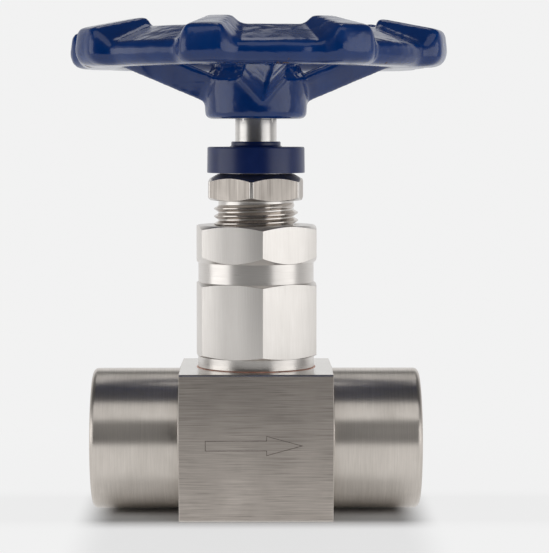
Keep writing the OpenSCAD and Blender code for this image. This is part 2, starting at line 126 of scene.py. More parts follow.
def soften(corners: Iterable[Corner], steps: int = 3) -> list[Point]:
    """Rounds the corners of an outline.

    Args:
        corners: Corners as radius, height and rounding; a rounding of 0 keeps the corner.
        steps: Number of pieces in each rounded corner.

    Returns:
        The points of the rounded outline.
    """
    given = list(corners)
    points: list[Point] = []
    for i, (x, y, rounding) in enumerate(given):
        if rounding <= 0:
            points.append((x, y))
            continue
        here = Vector((x, y))
        before = Vector(given[i - 1][:2]) - here
        after = Vector(given[(i + 1) % len(given)][:2]) - here
        half = before.angle(after) / 2
        reach = min(rounding / math.tan(half), before.length * 0.49, after.length * 0.49)
        before.normalize()
        after.normalize()
        size = reach * math.tan(half)
        centre = here + (before + after).normalized() * size / math.sin(half)
        first, second = here + before * reach - centre, here + after * reach - centre
        for k in range(steps + 1):
            arm = first.lerp(second, k / steps).normalized() * size
            points.append(tuple(centre + arm))
    return points


def lathe(outline: list[Point], steps: int = 144) -> BMesh:
    """Turns a half section about the Z axis.

    Args:
        outline: Points of radius and height. It closes on itself unless it starts on the axis.
        steps: Number of sides of the full turn.

    Returns:
        The turned shape, with its faces outwards.
    """
    shape = bmesh.new()
    verts = [shape.verts.new((radius, 0, height)) for radius, height in outline]
    edges = [shape.edges.new(pair) for pair in zip(verts, verts[1:])]
    if outline[0][0] > 0:
        edges.append(shape.edges.new((verts[-1], verts[0])))
    bmesh.ops.spin(shape, geom=verts + edges, cent=(0, 0, 0), axis=(0, 0, 1), angle=FULL_TURN,
                   steps=steps, use_merge=True, use_duplicate=False)
    bmesh.ops.remove_doubles(shape, verts=shape.verts, dist=WELD)
    bmesh.ops.recalc_face_normals(shape, faces=shape.faces)
    return shape


def rod(radius: float, low: float, high: float, steps: int = 144) -> BMesh:
    """Turns a plain round bar between two heights."""
    return lathe([(0, low), (radius, low), (radius, high), (0, high)], steps=steps)


def helix(section: list[Point], pitch: float, turns: float, start: float = 0.0, fade: float = 0.3,
          sides: int = 72) -> BMesh:
    """Winds the section of a thread's ridge round the Z axis.

    Args:
        section: Corners of the ridge as radius and height, in order round it, from its root.
        pitch: Rise of one turn.
        turns: Number of turns.
        start: Angle at which the thread begins, in turns.
        fade: Share of a turn over which each end of the ridge sinks to the root.
        sides: Number of sides of one turn.

    Returns:
        The ridge, closed at both ends.
    """
    root, least = section[0][0], 0.02
    ridge = bmesh.new()
    loop = [ridge.verts.new((radius, 0, height)) for radius, height in section]
    cap = ridge.faces.new(loop)
    steps = round(turns * sides)
    rotate(ridge, start * FULL_TURN)
    bmesh.ops.spin(ridge, geom=[cap, *cap.edges, *loop], cent=(0, 0, 0), axis=(0, 0, 1),
                   dvec=(0, 0, pitch / sides), angle=turns * FULL_TURN, steps=steps, use_duplicate=False)
    ridge.verts.ensure_lookup_table()
    for i, vert in enumerate(ridge.verts):
        step = i // len(section)
        share = min(1.0, step / (fade * sides), (steps - step) / (fade * sides))
        radius = radius_of(vert)
        widen(vert, (root + (radius - root) * max(share, least)) / radius)
    bmesh.ops.recalc_face_normals(ridge, faces=ridge.faces)
    return ridge


def ridge_section(root: float, crest: float, pitch: float, height: float, foot: float = 0.46,
                  tip: float = 0.06) -> list[Point]:
    """Gives the section of a thread's ridge.

    Args:
        root: Radius at the thread's root.
        crest: Radius at its crest.
        pitch: Rise of one turn.
        height: Height of the section's middle.
        foot: Half the ridge's width at its root, in pitches.
        tip: Half its width at the crest, in pitches.

    Returns:
        Its four corners, from the root.
    """
    return [(root, height - foot * pitch), (root, height + foot * pitch),
            (crest, height + tip * pitch), (crest, height - tip * pitch)]


def prism(flats: float, low: float, high: float, corner: float, sides: int = 6, worn: float = 0.0,
          bend: float = 45.0, rounded: float = 0.0) -> BMesh:
    """Makes a bar with flat sides, upright.

    Args:
        flats: Width across the flats.
        low: Height of its lower end.
        high: Height of its upper end.
        corner: Angle of one corner from the front of the valve, in degrees.
        sides: Number of sides.
        worn: Reach from each upright edge over which polishing has bent the sides.
        bend: Radius to which they are bent there.
        rounded: Width of the rounding of the upright edges.

    Returns:
        The bar.
    """
    bar = bmesh.new()
    radius = flats / 2 / math.cos(math.pi / sides)
    bmesh.ops.create_cone(bar, cap_ends=True, segments=sides, radius1=radius, radius2=radius,
                          depth=high - low)
    first = next(v.co for v in bar.verts)
    rotate(bar, math.radians(corner - 90) - math.atan2(first.y, first.x))
    move(bar, z=(low + high) / 2)
    upright = [e for e in bar.edges if abs((e.verts[0].co - e.verts[1].co).z) > 1e-3]
    if worn:
        level = [e for e in bar.edges if e not in upright]
        bmesh.ops.subdivide_edges(bar, edges=level, cuts=24)
        half = radius * math.sin(math.pi / sides)
        for vert in bar.verts:
            across = radius_of(vert)
            along = math.sqrt(max(0.0, across ** 2 - (flats / 2) ** 2))
            drop = max(0.0, worn - (half - along)) ** 2 / (2 * bend)
            widen(vert, 1 - drop / across)
    if rounded:
        bmesh.ops.bevel(bar, geom=upright, offset=rounded, affect="EDGES", segments=5, profile=0.5,
                        material=-1)
    return bar


def chamfer_reach(flats: float) -> Pair:
    """Gives the radii inside a hexagon's flats and outside its corners, between which ends are turned."""
    return flats / 2 - 0.1, flats / 2 / math.cos(math.pi / 6) + 0.2


def box(low: Iterable[float], high: Iterable[float]) -> BMesh:
    """Makes a block.

    Args:
        low: Its lowest corner.
        high: Its highest corner.

    Returns:
        The block.
    """
    low, high = Vector(low), Vector(high)
    cube = bmesh.new()
    bmesh.ops.create_cube(cube, size=1)
    bmesh.ops.scale(cube, verts=cube.verts, vec=high - low)
    move(cube, *((low + high) / 2))
    return cube


def lay_along_x(shape: BMesh, height: float, mirrored: bool = False) -> BMesh:
    """Lays a shape that was turned about Z along the flow axis.

    Args:
        shape: The shape, which is changed.
        height: Height of the flow axis.
        mirrored: Whether its +Z goes towards -X.

    Returns:
        The same shape.
    """
    rotate(shape, math.radians(-90 if mirrored else 90), "Y")
    move(shape, z=height)
    return shape


def absorb(shape: BMesh, *others: BMesh) -> BMesh:
    """Adds closed shells to a shape without cutting them.

    Args:
        shape: The shape that grows.
        others: Shells that are added, and freed.

    Returns:
        The grown shape.
    """
    for other in others:
        mesh = bpy.data.meshes.new("shell")
        other.to_mesh(mesh)
        other.free()
        shape.from_mesh(mesh)
        bpy.data.meshes.remove(mesh)
    return shape


def place_object(name: str, shape: BMesh) -> Object:
    """Makes an object of a shape, in the scene's own collection.

    Args:
        name: Name of the object and of its mesh.
        shape: The shape, which is freed.

    Returns:
        The object.
    """
    mesh = bpy.data.meshes.new(name)
    shape.to_mesh(mesh)
    shape.free()
    made = bpy.data.objects.new(name, mesh)
    bpy.context.scene.collection.objects.link(made)
    return made


def through_modifier(shape: BMesh, kind: str, **settings: object) -> BMesh:
    """Runs a shape through a modifier and bakes it in.

    Args:
        shape: The shape, which is freed.
        kind: The modifier's type.
        settings: Its settings.

    Returns:
        The changed shape.
    """
    work = place_object("work", shape)
    step = work.modifiers.new("step", kind)
    for name, value in settings.items():
        setattr(step, name, value)
    graph = bpy.context.evaluated_depsgraph_get()
    done = bmesh.new()
    done.from_mesh(work.evaluated_get(graph).to_mesh())
    bpy.data.meshes.remove(work.data)  # the object goes with it
    return done


def carve(shape: BMesh, tool: BMesh, cut: Cut) -> BMesh:
    """Cuts, trims or joins a shape with another.

    Args:
        shape: The shape that is worked on.
        tool: The other shape. Both are freed.
        cut: What is done.

    Returns:
        The result.
    """
    cutter = place_object("tool", tool)
    done = through_modifier(shape, "BOOLEAN", operation=cut.value, solver="EXACT", object=cutter)
    bpy.data.meshes.remove(cutter.data)
    bmesh.ops.remove_doubles(done, verts=done.verts, dist=WELD)
    bmesh.ops.dissolve_degenerate(done, dist=WELD, edges=done.edges)
    return done


def break_edges(shape: BMesh, width: float) -> BMesh:
    """Rounds the sharp edges of a shape a little, as deburring does.

    Args:
        shape: The shape, which is freed.
        width: Width of the rounding.

    Returns:
        The rounded shape.
    """
    return through_modifier(shape, "BEVEL", width=width, segments=2, profile=0.5, limit_method="ANGLE",
                            angle_limit=math.radians(SHARP_EDGE), miter_outer="MITER_ARC",
                            use_clamp_overlap=True)


# Finishes


@dataclass
class Wiring:
    """Places and links nodes in one tree."""

    tree: NodeTree

    def put(self, value: Input, socket: NodeSocket) -> None:
        """Links a socket to an input, or writes a plain value in it.

        Args:
            value: The socket or the plain value.
            socket: The input.
        """
        if isinstance(value, NodeSocket):
            self.tree.links.new(value, socket)
        else:
            socket.default_value = value

    def add(self, kind: str, values: Optional[dict] = None, **settings: object) -> Node:
        """Adds a node.

        Args:
            kind: Its type, without the leading ShaderNode.
            values: What goes into its inputs, by name or number: a socket or a plain value.
            settings: Its own properties.

        Returns:
            The node.
        """
        node = self.tree.nodes.new("ShaderNode" + kind)
        for name, value in settings.items():
            setattr(node, name, value)
        for name, value in (values or {}).items():
            self.put(value, node.inputs[name])
        return node

    def math(self, operation: str, *values: Input) -> NodeSocket:
        """Adds a sum of sockets or numbers, and gives its result."""
        return self.add("Math", dict(enumerate(values)), operation=operation).outputs[0]

    def times(self, first: Input, *others: Input) -> NodeSocket:
        """Multiplies sockets and numbers.

        Args:
            first: The first of them.
            others: The other ones.

        Returns:
            The product.
        """
        for other in others:
            first = self.math("MULTIPLY", first, other)
        return first

    def beside(self, value: NodeSocket) -> NodeSocket:
        """Gives what a share leaves of 1."""
        return self.math("SUBTRACT", 1.0, value)

    def scaled(self, vector: NodeSocket, scale: Iterable[float]) -> NodeSocket:
        """Multiplies a vector by another, number by number."""
        return self.add("VectorMath", {0: vector, 1: tuple(scale)}, operation="MULTIPLY").outputs[0]

    def length(self, vector: NodeSocket) -> NodeSocket:
        """Gives the length of a vector."""
        return self.add("VectorMath", {0: vector}, operation="LENGTH").outputs["Value"]

    def parts(self, vector: NodeSocket) -> NodeOutputs:
        """Splits a vector into its three numbers."""
        return self.add("SeparateXYZ", {0: vector}).outputs

    def joined(self, *numbers: Input) -> NodeSocket:
        """Joins up to three numbers to a vector."""
        return self.add("CombineXYZ", dict(enumerate(numbers))).outputs[0]

    def noise(self, vector: NodeSocket, scale: Input = 1.0, detail: float = 2.0,
              roughness: float = 0.5, distortion: float = 0.0) -> NodeSocket:
        """Adds a noise.

        Args:
            vector: Where it is read.
            scale: Its scale, a number or a socket.
            detail: Number of finer layers.
            roughness: Strength of the finer layers.
            distortion: How far it is warped.

        Returns:
            Its value, about 0.5 on average.
        """
        return self.add("TexNoise", {"Vector": vector, "Scale": scale, "Detail": detail,
                                     "Roughness": roughness, "Distortion": distortion}).outputs["Fac"]

    def fit(self, value: NodeSocket, low: float, high: float, to_low: float = 0.0, to_high: float = 1.0,
            smooth: bool = False) -> NodeSocket:
        """Maps a range of numbers to another, and clamps it.

        Args:
            value: The number.
            low: Start of its range.
            high: End of its range.
            to_low: What the start becomes.
            to_high: What the end becomes.
            smooth: Whether the ends ease in and out.

        Returns:
            The mapped number.
        """
        kind = "SMOOTHSTEP" if smooth else "LINEAR"
        return self.add("MapRange", {"Value": value, "From Min": low, "From Max": high,
                                     "To Min": to_low, "To Max": to_high},
                        interpolation_type=kind, clamp=True).outputs["Result"]

    def between(self, share: NodeSocket, first: Input, second: Input) -> NodeSocket:
        """Blends two numbers by a share."""
        return self.add("Mix", {0: share, 2: first, 3: second}, data_type="FLOAT").outputs[0]

    def blend(self, share: NodeSocket, first: Input, second: Input) -> NodeSocket:
        """Blends two colours by a share."""
        ends = [(*end, 1.0) if isinstance(end, tuple) else end for end in (first, second)]
        return self.add("Mix", {0: share, 6: ends[0], 7: ends[1]}, data_type="RGBA").outputs[2]

    def bump(self, height: NodeSocket, strength: float, distance: float) -> NodeSocket:
        """Gives the normal of a surface with a height, which is strongest at a distance in metres."""
        values = {"Strength": strength, "Distance": distance, "Height": height}
        return self.add("Bump", values).outputs[0]


@dataclass
class GroupMaker:
    """Starts a node group with named sockets; an input without a value is a vector."""

    name: str
    inputs: dict[str, Optional[float]]
    outputs: list[str]
    output_kind: str = "NodeSocketFloat"
    tree: ShaderNodeTree = field(init=False)
    given: NodeOutputs = field(init=False)
    made: NodeInputs = field(init=False)
    wiring: Wiring = field(init=False)

    def __post_init__(self) -> None:
        """Makes the group, its sockets and its two end nodes."""
        self.tree = bpy.data.node_groups.new(self.name, "ShaderNodeTree")
        for name, value in self.inputs.items():
            kind = "NodeSocketVector" if value is None else "NodeSocketFloat"
            socket = self.tree.interface.new_socket(name, in_out="INPUT", socket_type=kind)
            if value is not None:
                socket.default_value = value
        for name in self.outputs:
            self.tree.interface.new_socket(name, in_out="OUTPUT", socket_type=self.output_kind)
        self.given = self.tree.nodes.new("NodeGroupInput").outputs
        self.made = self.tree.nodes.new("NodeGroupOutput").inputs
        self.wiring = Wiring(self.tree)

    def finish(self, *results: NodeSocket) -> ShaderNodeTree:
        """Links the results to the outputs in order.

        Args:
            results: One socket for each output.

        Returns:
            The group.
        """
        for name, result in zip(self.outputs, results):
            self.wiring.put(result, self.made[name])
        return self.tree


class Effects:
    """The node groups that several finishes share."""

    def __init__(self) -> None:
        """Builds every group once."""
        self.tool_marks = self._tool_marks()
        self.round_position = self._round_position()
        self.handling = self._handling()
        self.cast_skin = self._cast_skin()

    @staticmethod
    def _tool_marks() -> ShaderNodeTree:
        """Fine and coarse lines that run across the first axis of a position.

        Returns:
            The group, with Lines for the shade, sparse Scratches, and Height for a bump.
        """
        made = GroupMaker("tool_marks", {"Position": None, "Coarse": 0.35},
                          ["Lines", "Scratches", "Height"])
        w, place = made.wiring, made.given["Position"]
        fine = w.noise(place, 1.0, 2.0, 0.6)
        wide = w.noise(w.scaled(place, (0.23, 0.45, 0.45)), 1.0, 2.0, 0.6)
        sparse = w.noise(w.scaled(place, (1.1, 0.65, 0.65)), 1.0, 1.0, 0.4)
        lines = w.fit(w.between(made.given["Coarse"], fine, wide), 0.28, 0.72)
        return made.finish(lines, w.fit(sparse, 0.62, 0.72), fine)

    @staticmethod
    def _round_position() -> ShaderNodeTree:
        """Position for marks that run round the Z axis, on walls and end faces alike.

        Returns:
            The group, whose Marks vector is fast across the marks and slow along them.
        """
        made = GroupMaker("round_position", {"Position": None, "Across": 1.0, "Around": 1.0}, ["Marks"],
                          "NodeSocketVector")
        w = made.wiring
        x, y, z = w.parts(made.given["Position"])
        radius = w.math("SQRT", w.math("ADD", w.times(x, x), w.times(y, y)))
        safe = w.math("MAXIMUM", radius, 1e-5)
        across = w.times(w.math("ADD", z, radius), made.given["Across"])
        sides = [w.times(w.math("DIVIDE", part, safe), made.given["Around"]) for part in (x, y)]
        return made.finish(w.joined(across, *sides))

    @staticmethod
    def _handling() -> ShaderNodeTree:
        """Faint smudges and rubbed patches that handling leaves.

        Returns:
            The group, with Smudge from 0 to 1.
        """
        made = GroupMaker("handling", {"Position": None, "Size": 60.0}, ["Smudge"])
        w = made.wiring
        cloud = w.noise(made.given["Position"], made.given["Size"], 4.0, 0.6, 0.6)
        return made.finish(w.fit(cloud, 0.35, 0.7, smooth=True))

    @staticmethod
    def _cast_skin() -> ShaderNodeTree:
        """Waves and fine pimples of a casting under thick enamel.

        Returns:
            The group, with Height for a bump and Pool where the enamel lies thick.
        """
        made = GroupMaker("cast_skin", {"Position": None, "Wave": 140.0, "Pimple": 900.0},
                          ["Height", "Pool"])
        w, place = made.wiring, made.given["Position"]
        wave = w.noise(place, made.given["Wave"], 2.0, 0.45, 0.3)
        fine = w.noise(place, made.given["Pimple"], 1.0, 0.5)
        return made.finish(w.math("MULTIPLY_ADD", fine, 0.06, wave), w.fit(wave, 0.3, 0.7, smooth=True))


@dataclass(frozen=True)
class Ground:
    """What a finish is laid on: a material's wiring, the object's own coordinates and the groups."""

    wiring: Wiring
    place: NodeSocket
    effects: Effects

    def smudges(self, size: float) -> NodeSocket:
        """Places the smudges of handling; a higher size makes smaller ones."""
        values = {"Position": self.place, "Size": size}
        return self.wiring.add("Group", values, node_tree=self.effects.handling).outputs[0]


@dataclass(frozen=True)
class Finish:
    """What every finish has: a name, and a material round its main shader."""

    name: str

    def material(self, effects: Effects) -> Material:
        """Makes the material.

        Args:
            effects: The shared node groups.

        Returns:
            The material.
        """
        made = bpy.data.materials.new(self.name)
        made.use_nodes = True
        made.node_tree.nodes.clear()
        w = Wiring(made.node_tree)
        ground = Ground(w, w.add("TexCoord").outputs["Object"], effects)
        shader = w.add("BsdfPrincipled", self.coat(ground))
        w.add("OutputMaterial", {"Surface": shader.outputs[0]})
        return made

    def coat(self, ground: Ground) -> dict:
        """Gives the inputs of the main shader; each finish has its own.

        Args:
            ground: What the finish is laid on.

        Returns:
            Sockets and plain values, by the name of the input.
        """
        raise NotImplementedError(self.name)


@dataclass(frozen=True)
class Steel(Finish):
    """Machined stainless steel with directional tool marks."""

    lay: Lay
    light: Colour = (0.66, 0.645, 0.62)
    dark: Colour = (0.52, 0.505, 0.48)
    gloss: Pair = (0.24, 0.40)
    anisotropy: float = 0.6
    line_width: float = 0.25
    line_length: float = 12.0
    coarse: float = 0.35
    depth: float = 0.12
    line_relief: float = 0.00002
    smudge: float = 0.25
    smudge_size: float = 55.0
    scratches: float = 0.0
    axis_height: float = 0.0
    # Painted shade: a factor that darkens the colour towards the top, between the shade heights in
    # metres.
    painted_upper_shade: float = 1.0
    tones: Pair = (-0.2, 1.0)
    painted_shade_heights: Pair = (0.004, 0.036)
    askew: float = 0.006
    around: float = 2.2

    def _marks(self, ground: Ground) -> tuple[NodeSocket, NodeSocket]:
        """Lays out the tool marks.

        Args:
            ground: What the finish is laid on.

        Returns:
            The position at which the marks are read, and the direction along them.
        """
        w, place = ground.wiring, ground.place
        fast, slow = 1 / (self.line_width * MM), 1 / (self.line_length * MM)
        if self.lay is Lay.BRUSHED_X:
            values = {"Vector": place, "Rotation": (0, 0, self.askew), "Scale": (slow, fast, fast)}
            return w.add("Mapping", values).outputs[0], w.joined(1.0)
        if self.lay is Lay.DRAWN_Z:
            return w.scaled(place, (fast, fast, slow)), w.joined(0.0, 0.0, 1.0)
        axis = "Z"
        if self.lay is Lay.TURNED_X:
            values = {"Vector": place, "Location": (0, 0, -self.axis_height * MM)}
            x, y, z = w.parts(w.add("Mapping", values).outputs[0])
            place, axis = w.joined(y, z, x), "X"
        marks = w.add("Group", {"Position": place, "Across": fast, "Around": self.around},
                      node_tree=ground.effects.round_position)
        return marks.outputs[0], w.add("Tangent", direction_type="RADIAL", axis=axis).outputs[0]

    def coat(self, ground: Ground) -> dict:
        """Shades the steel by its tool marks, scratches and smudges, and with painted shade that darkens
        its colour towards the top where the upper shade factor is below 1.

        Args:
            ground: What the finish is laid on.

        Returns:
            The inputs of the main shader.
        """
        w = ground.wiring
        marks, along = self._marks(ground)
        lines = w.add("Group", {"Position": marks, "Coarse": self.coarse},
                      node_tree=ground.effects.tool_marks).outputs
        tone = w.math("SUBTRACT", lines["Lines"], w.times(ground.smudges(self.smudge_size), self.smudge))
        if self.scratches:
            tone = w.math("SUBTRACT", tone, w.times(lines["Scratches"], self.scratches))
        share = w.fit(tone, *self.tones)
        colour = w.blend(share, self.dark, self.light)
        # Painted shade: the colour blends by height into a copy scaled by the upper shade factor, so the
        # surface is darker towards its top.
        if self.painted_upper_shade < 1:
            shaded = [tuple(part * self.painted_upper_shade for part in end) for end in (self.dark, self.light)]
            height = w.fit(w.parts(ground.place)[2], *self.painted_shade_heights, smooth=True)
            colour = w.blend(height, colour, w.blend(share, *shaded))
        return {"Base Color": colour, "Roughness": w.fit(tone, *self.tones, self.gloss[1], self.gloss[0]),
                "Normal": w.bump(lines["Height"], self.depth, self.line_relief), "Metallic": 1.0,
                "Anisotropic": self.anisotropy, "Anisotropic Rotation": 0.25, "Tangent": along}


@dataclass(frozen=True)
class Enamel(Finish):
    """Thick gloss enamel on a casting, chipped at the rim's lower edge."""

    deep: Colour = (0.0003, 0.0330, 0.182)
    thin: Colour = (0.0009, 0.0520, 0.255)
    bare: Colour = (0.085, 0.045, 0.030)
    edge_radii: Pair = (0.0425, 0.0435)
    edge_heights: Pair = (0.1180, 0.1172)
    chip_levels: Pair = (0.63, 0.65)
    boss_radii: Pair = (0.0185, 0.0145)
    boss_heights: Pair = (0.1125, 0.1145)
    boss_lumps: float = 1.4
    wave: float = 150.0
    pimple: float = 700.0
    chip_size: float = 170.0
    lump_size: float = 330.0
    worn_ridge: Pair = (0.5, 0.56)
    thinning: Pair = (0.45, 0.5)
    gloss: Pair = (0.13, 0.24)
    relief: Pair = (0.6, 0.0007)

    def coat(self, ground: Ground) -> dict:
        """Shades the enamel by its thickness, with chips, lumps and waves.

        Args:
            ground: What the finish is laid on.

        Returns:
            The inputs of the main shader.
        """
        w, place = ground.wiring, ground.place
        skin = w.add("Group", {"Position": place, "Wave": self.wave, "Pimple": self.pimple},
                     node_tree=ground.effects.cast_skin).outputs
        height = w.parts(place)[2]
        radius = w.length(w.scaled(place, (1, 1, 0)))
        lower_edge = w.times(w.fit(radius, *self.edge_radii), w.fit(height, *self.edge_heights))
        chips = w.times(w.fit(w.noise(place, self.chip_size, 4.0, 0.7), *self.chip_levels), lower_edge)
        boss = w.times(w.fit(radius, *self.boss_radii), w.fit(height, *self.boss_heights))
        lumps = w.times(w.noise(place, self.lump_size), w.times(boss, self.boss_lumps))
        ridge = w.fit(w.add("NewGeometry").outputs["Pointiness"], *self.worn_ridge, smooth=True)
        by_pool, by_ridge = self.thinning
        share = w.math("MULTIPLY_ADD", w.beside(skin["Pool"]), by_pool, w.times(ridge, by_ridge))
        rough = w.fit(ground.smudges(90.0), 0.0, 1.0, *self.gloss)
        return {"Base Color": w.blend(chips, w.blend(share, self.deep, self.thin), self.bare),
                "Roughness": w.math("MULTIPLY_ADD", chips, 0.5, rough),
                "Normal": w.bump(w.math("ADD", skin["Height"], lumps), *self.relief)}


@dataclass(frozen=True)
class Mottled(Finish):
    """A finish whose colour and gloss follow one mottling: plastic, copper, graphite or burnt steel."""

    colours: tuple[Colour, Colour]
    gloss: Pair
    metallic: float = 0.0
    smudge_size: float = 0.0
    scale: float = 0.0
    levels: Pair = (0.35, 0.65)
    stretch: tuple[float, float, float] = (1, 1, 1)
    detail: float = 2.0
    roughness: float = 0.6
    relief: Pair = (0.0, 0.0)

    def coat(self, ground: Ground) -> dict:
        """Blends colour and gloss by smudges, or by a noise where there are none.

        Args:
            ground: What the finish is laid on.

        Returns:
            The inputs of the main shader.
        """
        w, coat = ground.wiring, {"Metallic": self.metallic}
        if self.scale:
            grain = w.noise(w.scaled(ground.place, self.stretch), self.scale, self.detail, self.roughness)
            if self.relief[0]:
                coat["Normal"] = w.bump(grain, *self.relief)
        share = ground.smudges(self.smudge_size) if self.smudge_size else w.fit(grain, *self.levels)
        coat["Base Color"] = w.blend(share, *self.colours)
        coat["Roughness"] = w.fit(share, 0.0, 1.0, *self.gloss)
        return coat


def steels(flow_height: float) -> list[Steel]:
    """Lists the steel finishes: name, lay, light and dark colour, and gloss first.

    Args:
        flow_height: Height of the flow axis, about which the ends were turned.

    Returns:
        The finishes.
    """
    x, z, brushed, drawn = Lay.TURNED_X, Lay.TURNED_Z, Lay.BRUSHED_X, Lay.DRAWN_Z
    return [
        # The block face carries painted shade that darkens its colour towards the top.
        Steel("block_face", brushed, (0.72, 0.652, 0.595), (0.34, 0.306, 0.276), (0.30, 0.46),
              anisotropy=0.7, line_width=0.15, line_length=13.0, coarse=0.22, smudge=0.2,
              scratches=0.45, painted_upper_shade=0.64),
        Steel("turned_end", x, (0.70, 0.65, 0.60), (0.54, 0.50, 0.455), (0.30, 0.40),
              anisotropy=0.85, line_width=0.12, coarse=0.25, depth=0.05, smudge=0.4,
              axis_height=flow_height),
        Steel("block_top", brushed, (0.74, 0.715, 0.68), (0.64, 0.615, 0.58), (0.16, 0.24),
              anisotropy=0.4, line_width=0.14, line_length=9.0, coarse=0.2, depth=0.05),
        Steel("port", x, (0.5, 0.49, 0.47), (0.36, 0.35, 0.33), axis_height=flow_height, coarse=0.3),
        Steel("bonnet_flat", drawn, (0.76, 0.73, 0.70), (0.68, 0.65, 0.615), (0.33, 0.42),
              anisotropy=0.5, line_width=0.14, line_length=8.0, coarse=0.12, depth=0.08),
        Steel("bonnet_turned", z, (0.73, 0.70, 0.67), (0.63, 0.60, 0.57), (0.26, 0.36),
              anisotropy=0.4, line_width=0.14, coarse=0.12, depth=0.05),
        Steel("gland_flat", drawn, (0.58, 0.535, 0.49), (0.29, 0.262, 0.238), (0.30, 0.46),
              line_width=0.3, line_length=16.0, coarse=0.45, depth=0.3),
        Steel("cut_thread", z, (0.66, 0.615, 0.575), (0.44, 0.405, 0.375), (0.14, 0.24),
              anisotropy=0.3, line_width=0.12, depth=0.05),
        Steel("stem_ground", z, (0.71, 0.69, 0.665), (0.61, 0.59, 0.565), (0.26, 0.34),
              anisotropy=0.4, line_width=0.12, depth=0.05),
        Steel("fastener", z, (0.68, 0.67, 0.66), (0.50, 0.49, 0.48), (0.2, 0.32), line_width=0.3),
        Steel("inner_turned", z, gloss=(0.22, 0.34), line_width=0.3),
        Steel("polished_ball", z, (0.75, 0.75, 0.76), (0.7, 0.7, 0.71), (0.05, 0.1),
              anisotropy=0.0, depth=0.02),
    ]


def make_materials(flow_height: float) -> dict[str, Material]:
    """Makes every material of the valve.

    Args:
        flow_height: Height of the flow axis, about which the ends were turned.

    Returns:
        The materials by name.
    """
    effects = Effects()
    finishes = [
        *steels(flow_height),
        Enamel("wheel_enamel"),
        Mottled("cap_plastic", ((0.0006, 0.0165, 0.115), (0.0020, 0.0200, 0.130)), (0.30, 0.36),
                smudge_size=120.0, scale=2600.0, roughness=0.5, relief=(0.12, 0.00005)),
        Mottled("gasket_copper", ((0.80, 0.46, 0.36), (0.42, 0.20, 0.15)), (0.32, 0.5), 1.0,
                smudge_size=240.0),
        Mottled("packing_graphite", ((0.018, 0.018, 0.020), (0.075, 0.075, 0.080)), (0.42, 0.66), 0.35,
                scale=900.0, stretch=(1, 1, 2.2), detail=3.0, relief=(0.3, 0.0001)),
        Mottled("laser_mark", ((0.12, 0.10, 0.09), (0.24, 0.21, 0.19)), (0.5, 0.65), 0.6,
                scale=2200.0, stretch=(0.3, 1, 1)),
    ]
    return {finish.name: finish.material(effects) for finish in finishes}


# Pieces


def flats_first(flats: float, least: float) -> Callable[[BMFace], int]:
    """Tells the flats of a hexagon from its turned faces.

    Args:
        flats: Width across the flats.
        least: Least area of a flat.

    Returns:
        What gives 0 for a flat and 1 for a turned face.
    """

    def choose(face: BMFace) -> int:
        """Gives 0 for a flat and 1 for a turned face."""
        middle = face.calc_center_median()
        far = math.hypot(middle.x, middle.y) > flats / 2 - 0.02
        return 0 if far and abs(face.normal.z) < 0.02 and face.calc_area() > least else 1

    return choose


@dataclass
class SubAssembly:
    """A group of pieces that ride on one body and are made and dressed together."""

    materials: dict[str, Material]
    body: Body = Body.VALVE
    deburred: float = 0.14

    def finish_piece(self, name: str, shape: BMesh, finishes: Iterable[str], slot: str,
                     stands_for: Iterable[str] = (), choose: Optional[Callable[[BMFace], int]] = None,
                     sharp: float = 32, weighted: bool = True) -> None:
        """Makes the object of a piece from its shape.

        Args:
            name: Name of the piece.
            shape: Its shape in millimetres, which is freed.
            finishes: Names of its finishes.
            slot: The record's material slot; not used.
            stands_for: CAD nodes that it replaces.
            choose: Picks the number of a face's finish.
            sharp: Least angle of an edge that is shaded sharp, in degrees.
            weighted: Whether large faces shade flat beside their rounded edges.
        """
        if choose:
            for face in shape.faces:
                face.material_index = choose(face)
        bmesh.ops.scale(shape, verts=shape.verts, vec=(MM, MM, MM))
        made = place_object(name, shape)
        mesh = made.data
        for finish in finishes:
            mesh.materials.append(self.materials[finish])
        mesh.polygons.foreach_set("use_smooth", [True] * len(mesh.polygons))
        mesh.set_sharp_from_angle(angle=math.radians(sharp))
        if weighted:
            made.modifiers.new("normals", "WEIGHTED_NORMAL").keep_sharp = True
        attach(made, self.body.value)
        if stands_for:
            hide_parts(*stands_for)
        replaced = ", ".join(stands_for) or "nothing"
        LOG.info("%s: %d faces, stands for %s", name, len(mesh.polygons), replaced)


